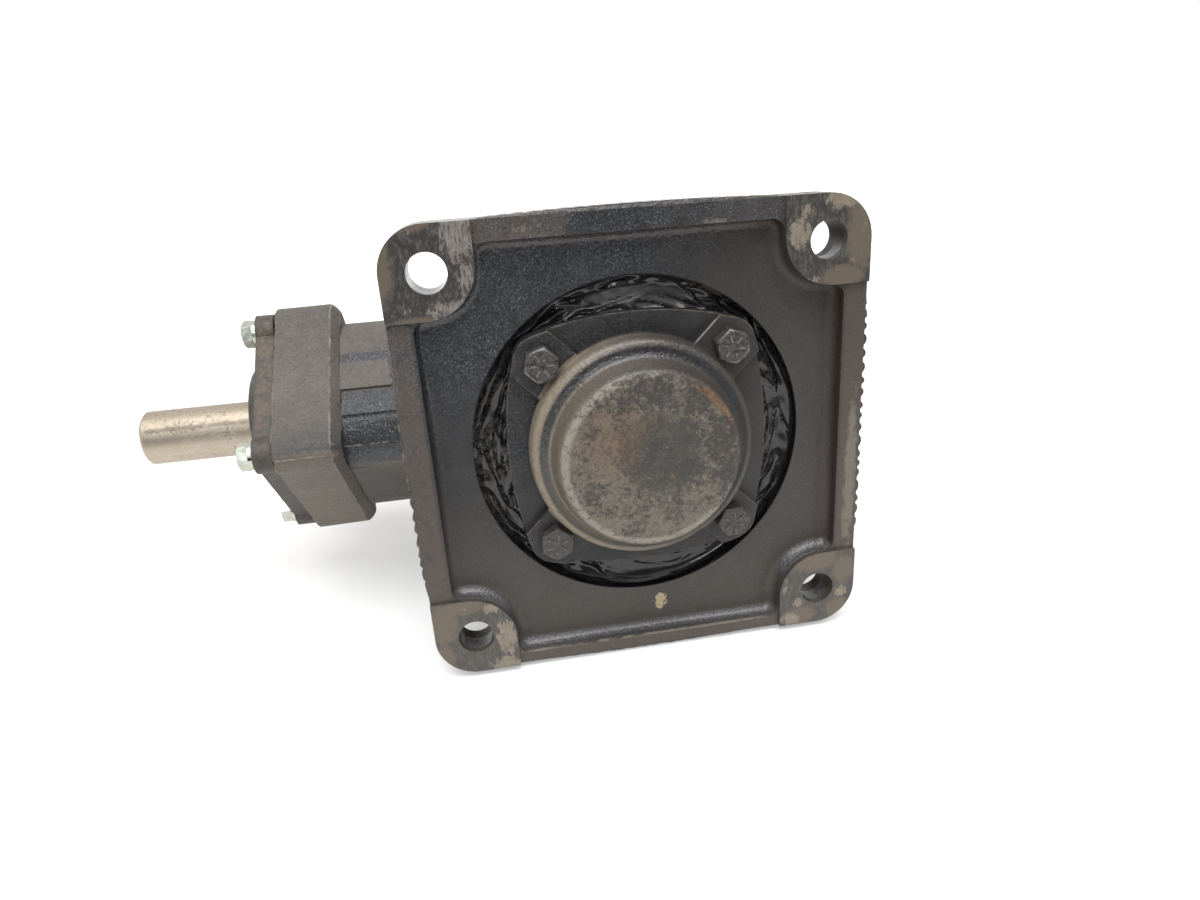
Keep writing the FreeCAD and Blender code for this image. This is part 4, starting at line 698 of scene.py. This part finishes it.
DOUBLES = 2e-6
FLAT_ANGLE = math.radians(0.4)
SHARP_ANGLE = math.radians(25.0)
SHADING_ANGLE = math.radians(30.0)
SOFT_SEGMENTS = 2
SQUARE = 0.99999
HALFWAY = 0.003


def own(mesh, name, node):
    """A piece that stands for a node and moves with its body."""
    finish = FINISHES[SLOT_OF[node]]
    piece = bpy.data.objects.new(name, mesh)
    bpy.context.scene.collection.objects.link(piece)
    mesh.materials.clear()
    mesh.materials.append(finish.material)
    even = piece.modifiers.new("even_normals", "WEIGHTED_NORMAL")
    even.keep_sharp = True
    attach(piece, BODY_OF[node])
    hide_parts(node)


def merged(node):
    """The node's mesh with its doubled points joined and its flat faces whole."""
    bm = bmesh.new()
    bm.from_mesh(NODES[node].data)
    bmesh.ops.remove_doubles(bm, verts=bm.verts, dist=DOUBLES)
    bmesh.ops.dissolve_limit(bm, angle_limit=FLAT_ANGLE, verts=bm.verts, edges=bm.edges)
    return bm


def middle(edge):
    return (edge.verts[0].co + edge.verts[1].co) / 2 / MM


def sharp_edges(bm, chosen):
    """The sharp outer edges whose middle is chosen."""
    return [edge for edge in bm.edges if len(edge.link_faces) == 2 and edge.is_convex
            and edge.calc_face_angle(0.0) > SHARP_ANGLE and chosen(middle(edge))]


def rub(bm, faces):
    """Marks faces as edges that get rubbed."""
    mark = bm.faces.layers.float.get("worn_edge")
    for face in faces:
        face[mark] = 1.0


def soften(bm, width, chosen):
    """Rounds the chosen sharp outer edges and marks their new faces."""
    if bm.faces.layers.float.get("worn_edge") is None:
        bm.faces.layers.float.new("worn_edge")
    made = bmesh.ops.bevel(bm, geom=sharp_edges(bm, chosen), offset=width * MM, offset_type="OFFSET",
                           segments=SOFT_SEGMENTS, profile=0.5, affect="EDGES", clamp_overlap=True,
                           material=-1)
    rub(bm, made["faces"])


def add_block(bm, place, sizes):
    """A small block of the given sizes in millimetres, marked as rubbed, and its points."""
    shape = Matrix.Diagonal(Vector((*[length * MM for length in sizes], 1.0)))
    verts = bmesh.ops.create_cube(bm, size=1.0, matrix=place @ shape)["verts"]
    rub(bm, {face for vert in verts for face in vert.link_faces})
    return verts


def in_main_plane(face):
    """Whether a many-sided face lies square to an axis or halfway between two."""
    low, mid, high = sorted(abs(value) for value in face.normal)
    square = high > SQUARE
    halfway = low < HALFWAY and high - mid < HALFWAY
    return len(face.verts) > 4 and (square or halfway)


def to_mesh(bm, name, angle=SHADING_ANGLE):
    """Ends a shape as a mesh with flat main planes, other faces smooth, and sharp edges past an angle."""
    mesh = bpy.data.meshes.new(name)
    bm.normal_update()
    for face in bm.faces:
        face.smooth = not in_main_plane(face)
    bmesh.ops.triangulate(bm, faces=[face for face in bm.faces if len(face.verts) > 4])
    rounded = [face.smooth for face in bm.faces]
    bm.to_mesh(mesh)
    bm.free()
    mesh.set_sharp_from_angle(angle=angle)
    mesh.polygons.foreach_set("use_smooth", rounded)
    return mesh


# Casting flash around the flange: axis and direction of each side, and strength of its lower and upper half
FLASH_SIDES = ((0, -1, 1.0, 0.55), (0, 1, 1.0, 1.0), (2, 1, 0.12, 0.12), (2, -1, 0.12, 0.12))
FLASH_CUTS = 150
FLASH_SHORTEST = 60.0
FLASH_DEEPEST = 1.5
FLASH_LEAD = 4.2
FLASH_BOW = 1.3
FLASH_END = 56.4
FLASH_FADE = 16.0
LOBE_LENGTH = 5.4
CLOSE = 0.05


def ragged(along, side):
    """How far a flash line falls back at a place along its edge, in millimetres."""
    lobe = along / LOBE_LENGTH + 0.35 * noise.noise(Vector((along * 0.11, side * 3.1, 0.5)))
    notch = 1.0 - abs(math.sin(math.pi * lobe))
    depth = 1.2 + 1.3 * max(0.0, 0.6 + noise.noise(Vector((along * 0.035, side * 7.7, 2.5))))
    return min(FLASH_DEEPEST, notch ** 1.2 * depth)


def break_flash(bm, axis, sign, lower, upper):
    """Gives one side's flash its edge: lobes on the upright sides, a bow on the level ones."""
    other = 2 - axis

    def outer(vert):
        return vert.co[axis] * sign / MM > FLASH_REACH - CLOSE

    def at_foot(vert):
        return abs(vert.co[axis] * sign / MM - FLANGE_HALF) < CLOSE

    edges = [edge for edge in bm.edges if outer(edge.verts[0]) and outer(edge.verts[1])
             and abs(edge.verts[0].co[other] - edge.verts[1].co[other]) > FLASH_SHORTEST * MM]
    bmesh.ops.subdivide_edges(bm, edges=edges, cuts=FLASH_CUTS, use_grid_fill=True)
    for vert in bm.verts:
        along = vert.co[other] / MM
        tip = outer(vert)
        if abs(vert.co.y / MM - FLASH_NEAR) < CLOSE and (tip or at_foot(vert)):
            wander = noise.noise(Vector((along * 0.2, sign * (axis + 2.5), 4.5)))
            vert.co.y -= (FLASH_LEAD - (0.4 + 0.4 * wander if tip else 0.0)) * MM
        if tip:
            back = ragged(along, sign * (axis + 1)) * (lower if along < 0 else upper)
            if axis == 0:
                fade = max(0.0, abs(along) - FLASH_END + FLASH_FADE) / FLASH_FADE
                back = max(back, FLASH_DEEPEST * fade ** 1.5)
            else:
                back = min(FLASH_DEEPEST, back + FLASH_BOW * (along / FLASH_END) ** 2)
            vert.co[axis] -= sign * back * MM


# Casting seams on the front corners of the neck and block: ends along X, depth of the corner, and rise
SEAMS = ((-124.5, -84.0, 46.25, 0.45), (-151.5, -127.5, 36.05, 0.40))
SEAM_STEP = 1.5
SEAM_OVERLAP = 1.04
SEAM_WIDTH = 0.8


def add_seams(bm):
    """Low broken ridges where the two halves of the mould met."""
    for first, last, depth, rise in SEAMS:
        for number in range(int((last - first) / SEAM_STEP)):
            along = first + (number + 0.5) * SEAM_STEP
            lift = rise * (0.65 + 0.7 * noise.noise(Vector((along * 0.37, depth, 1.5))))
            drift = 0.25 * noise.noise(Vector((along * 0.11, depth, 6.5)))
            place = Matrix.Translation(Vector((along, depth, drift)) * MM)
            add_block(bm, place, (SEAM_STEP * SEAM_OVERLAP, 2 * lift, SEAM_WIDTH))


CHOP_LENGTH = 2.5
WEAR_DEPTH = 0.45


def chop(bm, chosen):
    """Cuts the long sharp edges into short lengths, so that they can be worn unevenly."""
    for edge in sharp_edges(bm, chosen):
        cuts = int(edge.calc_length() / MM / CHOP_LENGTH)
        if cuts > 0:
            bmesh.ops.subdivide_edges(bm, edges=[edge], cuts=cuts)


def wear_edges(bm, chosen):
    """Draws the rounded edges in by an uneven depth."""
    mark = bm.faces.layers.float.get("worn_edge")
    bm.normal_update()
    for vert in {vert for face in bm.faces if face[mark] > 0.5 for vert in face.verts}:
        if chosen(vert.co / MM):
            depth = 0.5 + 1.6 * noise.noise(vert.co / MM * 0.23)
            vert.co -= vert.normal * WEAR_DEPTH * MM * min(1.0, max(0.0, depth))


FLANGE_SOFT = 0.5
BLOCK_SOFT = 0.9
BLOCK_START = -120.0


def on_flange(point):
    """Whether a point is on the flange, outside its opening and off its flash."""
    flash = max(abs(point.x), abs(point.z)) > FLANGE_HALF + 0.02
    return point.y < FLANGE_END and math.hypot(point.x, point.z) > OPENING_RADIUS - 0.5 and not flash


def on_block(point):
    return point.x < BLOCK_START


def case_piece():
    bm = merged("gear_case")
    for side in FLASH_SIDES:
        break_flash(bm, *side)
    soften(bm, FLANGE_SOFT, on_flange)
    chop(bm, on_block)
    soften(bm, BLOCK_SOFT, on_block)
    wear_edges(bm, on_block)
    add_seams(bm)
    own(to_mesh(bm, "gear_case_cast"), "gear_case_cast", "gear_case")


def cast_piece(node, name, width):
    """A casting or bolt with its outer edges softened."""
    bm = merged(node)
    soften(bm, width, lambda point: True)
    own(to_mesh(bm, name), name, node)


# Raised radial marks on the dark bolts' heads
HEAD_SOFT = 0.3
HEAD_END = 6.0
MARK_COUNT = 6
MARK_PLACE = 3.4
MARK_SIZE = (2.9, 0.9, 0.8)
MARK_RISE = 0.42
HEAD_TURN = 13


def dark_bolts():
    """The cap's bolts with raised radial marks, each head turned a little further."""
    bm = merged("front_cap_bolts")
    soften(bm, HEAD_SOFT, lambda point: point.y < HEAD_END)
    front = min(vert.co.y for vert in bm.verts)
    for number, (x, z) in enumerate(((-1, 1), (1, 1), (1, -1), (-1, -1))):
        centre = Vector((x * BOLT_PLACE * MM, front, z * BOLT_PLACE * MM))
        for step in range(MARK_COUNT):
            turn = Matrix.Rotation(math.radians(360 / MARK_COUNT * step + HEAD_TURN * number), 4, "Y")
            outwards = Matrix.Translation(Vector((MARK_PLACE * MM, 0, 0)))
            for vert in add_block(bm, Matrix.Translation(centre) @ turn @ outwards, MARK_SIZE):
                vert.co.y = max(vert.co.y, front - MARK_RISE * MM)
    own(to_mesh(bm, "front_cap_bolts_marked"), "front_cap_bolts_marked", "front_cap_bolts")


# Sealant around the cap: steps around and across it, depths and widths in millimetres, and angles
SEALANT_GRID = (720, 26)
SEALANT_BACK = 20.0
SEALANT_LEVEL = 15.6
SEALANT_TUCK = 0.15
SEALANT_PLAY = 0.05
SEALANT_WIDE = 4.0
SEALANT_DOUBLES = 1e-6
SEALANT_SHADING = math.radians(60.0)
FULL_TURN = 2 * math.pi

# Places around the sealant: angle from +X and width either side of it, in degrees
SMOOTH_LOW = (285, 45)
SMOOTH_RIGHT = (350, 40)
SMEAR_TOP = (88, 30)
DUST_LOW = (268, 34)
DUST_RIGHT = (5, 45)
DUST_LEFT = (178, 38)
CRUMB_UPPER_RIGHT = (55, 16)


def bell(value, centre, width):
    """1 at an angle in degrees, falling to 0 past a width either side."""
    gap = abs((value - centre + 180) % 360 - 180) / width
    return max(0.0, 1.0 - gap * gap)


def cap_outline():
    """Distance of the cap's edge from the axis, by angle, from the sealant's inner edge."""
    points = []
    for vert in NODES["front_cap_sealant"].data.vertices:
        away = math.hypot(vert.co.x, vert.co.z) / MM
        if away < OPENING_RADIUS - 1.0:
            points.append((math.atan2(vert.co.z, vert.co.x) % FULL_TURN, away))
    points.sort()
    before = (points[-1][0] - FULL_TURN, points[-1][1])
    after = (points[0][0] + FULL_TURN, points[0][1])
    points = [before, *points, after]

    def edge(turn):
        for first, second in zip(points, points[1:]):
            if first[0] <= turn <= second[0]:
                share = (turn - first[0]) / max(1e-9, second[0] - first[0])
                return first[1] + share * (second[1] - first[1])
        return points[0][1]
    return edge


def sealant_rise(turn, share, away, crumb):
    """How far the bead stands up at a point: ropes, folds and lumps, drawn up at both walls."""
    degrees = math.degrees(turn)
    folds = 1.0 - 0.85 * max(bell(degrees, *SMOOTH_LOW), 0.6 * bell(degrees, *SMOOTH_RIGHT))
    ring = Vector((math.cos(turn), math.sin(turn), 0)) * 3.4
    rope = noise.noise(Vector((ring.x, ring.y, away * 0.20)))
    fold = noise.noise(Vector((ring.x * 2.6, ring.y * 2.6, away * 0.30 + 7)))
    lump = noise.noise(Vector((ring.x * 0.7, ring.y * 0.7, 11.0)))
    ridge = max(0.0, 1.0 - abs(rope) * 4.5) ** 1.5
    rise = (ridge * 1.7 + fold * 0.9 + lump * 1.2) * folds
    return rise + 2.6 * share ** 7 + 1.2 * (1 - share) ** 7 + crumb * (0.8 + fold)


def sealant_marks(degrees, share, crumb):
    """How smeared, dusty and crumbly the bead is at a point, from 0 to 1."""
    smear = bell(degrees, *SMEAR_TOP) * max(0.0, 1.0 - ((share - 0.38) / 0.36) ** 2)
    low = bell(degrees, *DUST_LOW) * max(0.0, 1.0 - share / 0.55)
    right = bell(degrees, *DUST_RIGHT) * max(0.0, 1.0 - share / 0.8)
    left = 0.9 * bell(degrees, *DUST_LEFT)
    return {"smear": smear, "dusty": max(low, right, left), "crumb": min(1.0, crumb)}


def sealant_piece():
    """Black sealant pressed out around the cap: a strip closed into a ring, then given its depth."""
    bm = bmesh.new()
    around, across = SEALANT_GRID
    bmesh.ops.create_grid(bm, x_segments=around, y_segments=across, size=0.5)
    layers = {name: bm.verts.layers.float.new(name) for name in ("smear", "dusty", "crumb")}
    edge = cap_outline()
    for vert in bm.verts:
        turn = (vert.co.x + 0.5) * FULL_TURN % FULL_TURN
        share = vert.co.y + 0.5
        inner = edge(turn) - SEALANT_TUCK
        width = OPENING_RADIUS - SEALANT_PLAY - inner
        away = inner + share * width
        degrees = math.degrees(turn)
        crumb = bell(degrees, *CRUMB_UPPER_RIGHT) * max(0.0, share - 0.75) * 4
        room = min(1.0, width / SEALANT_WIDE)
        deep = SEALANT_LEVEL - sealant_rise(turn, share, away, crumb) * room
        for name, value in sealant_marks(degrees, share, crumb).items():
            vert[layers[name]] = value
        vert.co = Vector((away * math.cos(turn), deep, away * math.sin(turn))) * MM
    bmesh.ops.remove_doubles(bm, verts=bm.verts, dist=SEALANT_DOUBLES)
    made = bmesh.ops.extrude_face_region(bm, geom=bm.faces[:])
    for item in made["geom"]:
        if isinstance(item, bmesh.types.BMVert):
            item.co.y = SEALANT_BACK * MM
    bmesh.ops.recalc_face_normals(bm, faces=bm.faces)
    mesh = to_mesh(bm, "front_cap_sealant_bead", SEALANT_SHADING)
    own(mesh, "front_cap_sealant_bead", "front_cap_sealant")


# Plainer castings and bolts: node, piece, and width of the rounded edges in millimetres
CAST_PIECES = (
    ("front_cap", "front_cap_cast", 0.45),
    ("input_cap", "input_cap_cast", 0.5),
    ("rear_cover", "rear_cover_cast", 0.5),
    ("input_cap_bolts", "input_cap_bolts_plated", 0.25),
)

for node, thing in NODES.items():
    thing.data.materials.clear()
    thing.data.materials.append(FINISHES[SLOT_OF[node]].material)
case_piece()
for row in CAST_PIECES:
    cast_piece(*row)
dark_bolts()
sealant_piece()


# Camera at the photo's place

CAMERA_PLACE = Vector((-57.74, -290.28, 108.87)) * MM
CAMERA_RIGHT = Vector((0.98522, -0.15889, -0.06405))
CAMERA_UP = Vector((0.11419, 0.33041, 0.93690))
CAMERA_LENS = 23.366
CAMERA_SENSOR = 36.0
CAMERA_NEAR = 0.01


def place_camera():
    data = bpy.data.cameras.new("photo_camera")
    data.lens = CAMERA_LENS
    data.sensor_width = CAMERA_SENSOR
    data.clip_start = CAMERA_NEAR
    data.dof.use_dof = False
    camera = bpy.data.objects.new("photo_camera", data)
    turn = Matrix((CAMERA_RIGHT, CAMERA_UP, CAMERA_RIGHT.cross(CAMERA_UP))).transposed().to_4x4()
    camera.matrix_world = Matrix.Translation(CAMERA_PLACE) @ turn
    bpy.context.scene.collection.objects.link(camera)
    bpy.context.scene.camera = camera


# Floor under the lower edges of the flange and the rear cover, whose depth and height come first

FLOOR_FRONT = (FLASH_FAR, -FLASH_REACH)
FLOOR_BACK = (154.0, -82.0)
FLOOR_HALF = 4.0
FLOOR_EDGE = -0.42
FLOOR_WHITE = (0.86, 0.86, 0.86, 1.0)
GLOW_START = 350.0
GLOW_END = 1300.0
GLOW_NEAR = 0.3
BLACK = (0.0, 0.0, 0.0)
WHITE = (1.0, 1.0, 1.0)


def floor_finish():
    """Pale floor that looks white far off, where the camera or a reflection sees it."""
    f = Finish("floor_white")
    plain = f.add("ShaderNodeBsdfDiffuse", 0, {"Color": FLOOR_WHITE})
    far = f.step(f.distance(f.x, f.y), GLOW_START, GLOW_END, GLOW_NEAR, 1.0)
    lit = f.add("ShaderNodeEmission", 0, {"Color": f.mix(far, BLACK, WHITE), "Strength": 1.0})
    bright = f.add("ShaderNodeAddShader", 0, {0: plain, 1: lit})
    f.end(f.add("ShaderNodeMixShader", 0, {0: f.most(*f.rays()), 1: plain, 2: bright}))
    return f


def place_floor():
    slope = (FLOOR_BACK[1] - FLOOR_FRONT[1]) / (FLOOR_BACK[0] - FLOOR_FRONT[0])
    bm = bmesh.new()
    bmesh.ops.create_grid(bm, x_segments=1, y_segments=1, size=FLOOR_HALF)
    for vert in bm.verts:
        vert.co.y = max(vert.co.y, FLOOR_EDGE)
        vert.co.z = FLOOR_FRONT[1] * MM + slope * (vert.co.y - FLOOR_FRONT[0] * MM)
    mesh = bpy.data.meshes.new("floor")
    bm.to_mesh(mesh)
    bm.free()
    floor = bpy.data.objects.new("floor", mesh)
    bpy.context.scene.collection.objects.link(floor)
    mesh.materials.append(floor_finish().material)


# Studio light

SKY_TINT = (1.0, 0.975, 0.94)
SKY_LOW = 0.05
SKY_HIGH = 0.70
SKY_DIM = 0.14
SKY_BRIGHT = 0.86
BEHIND_FULL = 0.5


def place_world():
    """Soft light from above, and plain white where the camera sees it, or a reflection sees it behind."""
    world = bpy.data.worlds.new("studio")
    bpy.context.scene.world = world
    sky = Nodes(world)
    direction = sky.add("ShaderNodeTexCoord", "Generated", {})
    depth, height = [sky.add("ShaderNodeSeparateXYZ", axis, {0: direction}) for axis in (1, 2)]
    behind = sky.step(depth, 0.0, BEHIND_FULL)
    level = sky.step(height, SKY_LOW, SKY_HIGH, SKY_DIM, SKY_BRIGHT)
    camera, glossy, clear = sky.rays()
    seen = sky.high(camera, sky.high(glossy, clear) * behind)
    strength = sky.add("ShaderNodeMix", 0, {0: seen, 2: level, 3: 1.0}, data_type="FLOAT")
    tint = sky.mix(seen, SKY_TINT, WHITE)
    light = sky.add("ShaderNodeBackground", 0, {"Color": tint, "Strength": strength})
    sky.add("ShaderNodeOutputWorld", None, {"Surface": light})


def place_light(name, place, aim, size, power, color):
    data = bpy.data.lights.new(name, "AREA")
    data.shape = "RECTANGLE"
    data.size, data.size_y = size
    data.energy = power
    data.color = color
    light = bpy.data.objects.new(name, data)
    light.location = place
    light.rotation_euler = (Vector(aim) - Vector(place)).to_track_quat("-Z", "Y").to_euler()
    bpy.context.scene.collection.objects.link(light)


place_camera()
place_floor()
place_world()
place_light("ceiling", place=(-0.10, -0.55, 1.40), aim=(0.0, 0.05, 0.0), size=(1.5, 1.0), power=20.0,
            color=(0.96, 0.965, 0.97))
place_light("window", place=(-0.40, -1.30, 0.75), aim=(-0.03, 0.0, 0.0), size=(0.42, 0.30), power=3.2,
            color=(0.80, 0.90, 1.0))

bpy.context.scene.view_settings.view_transform = "Standard"
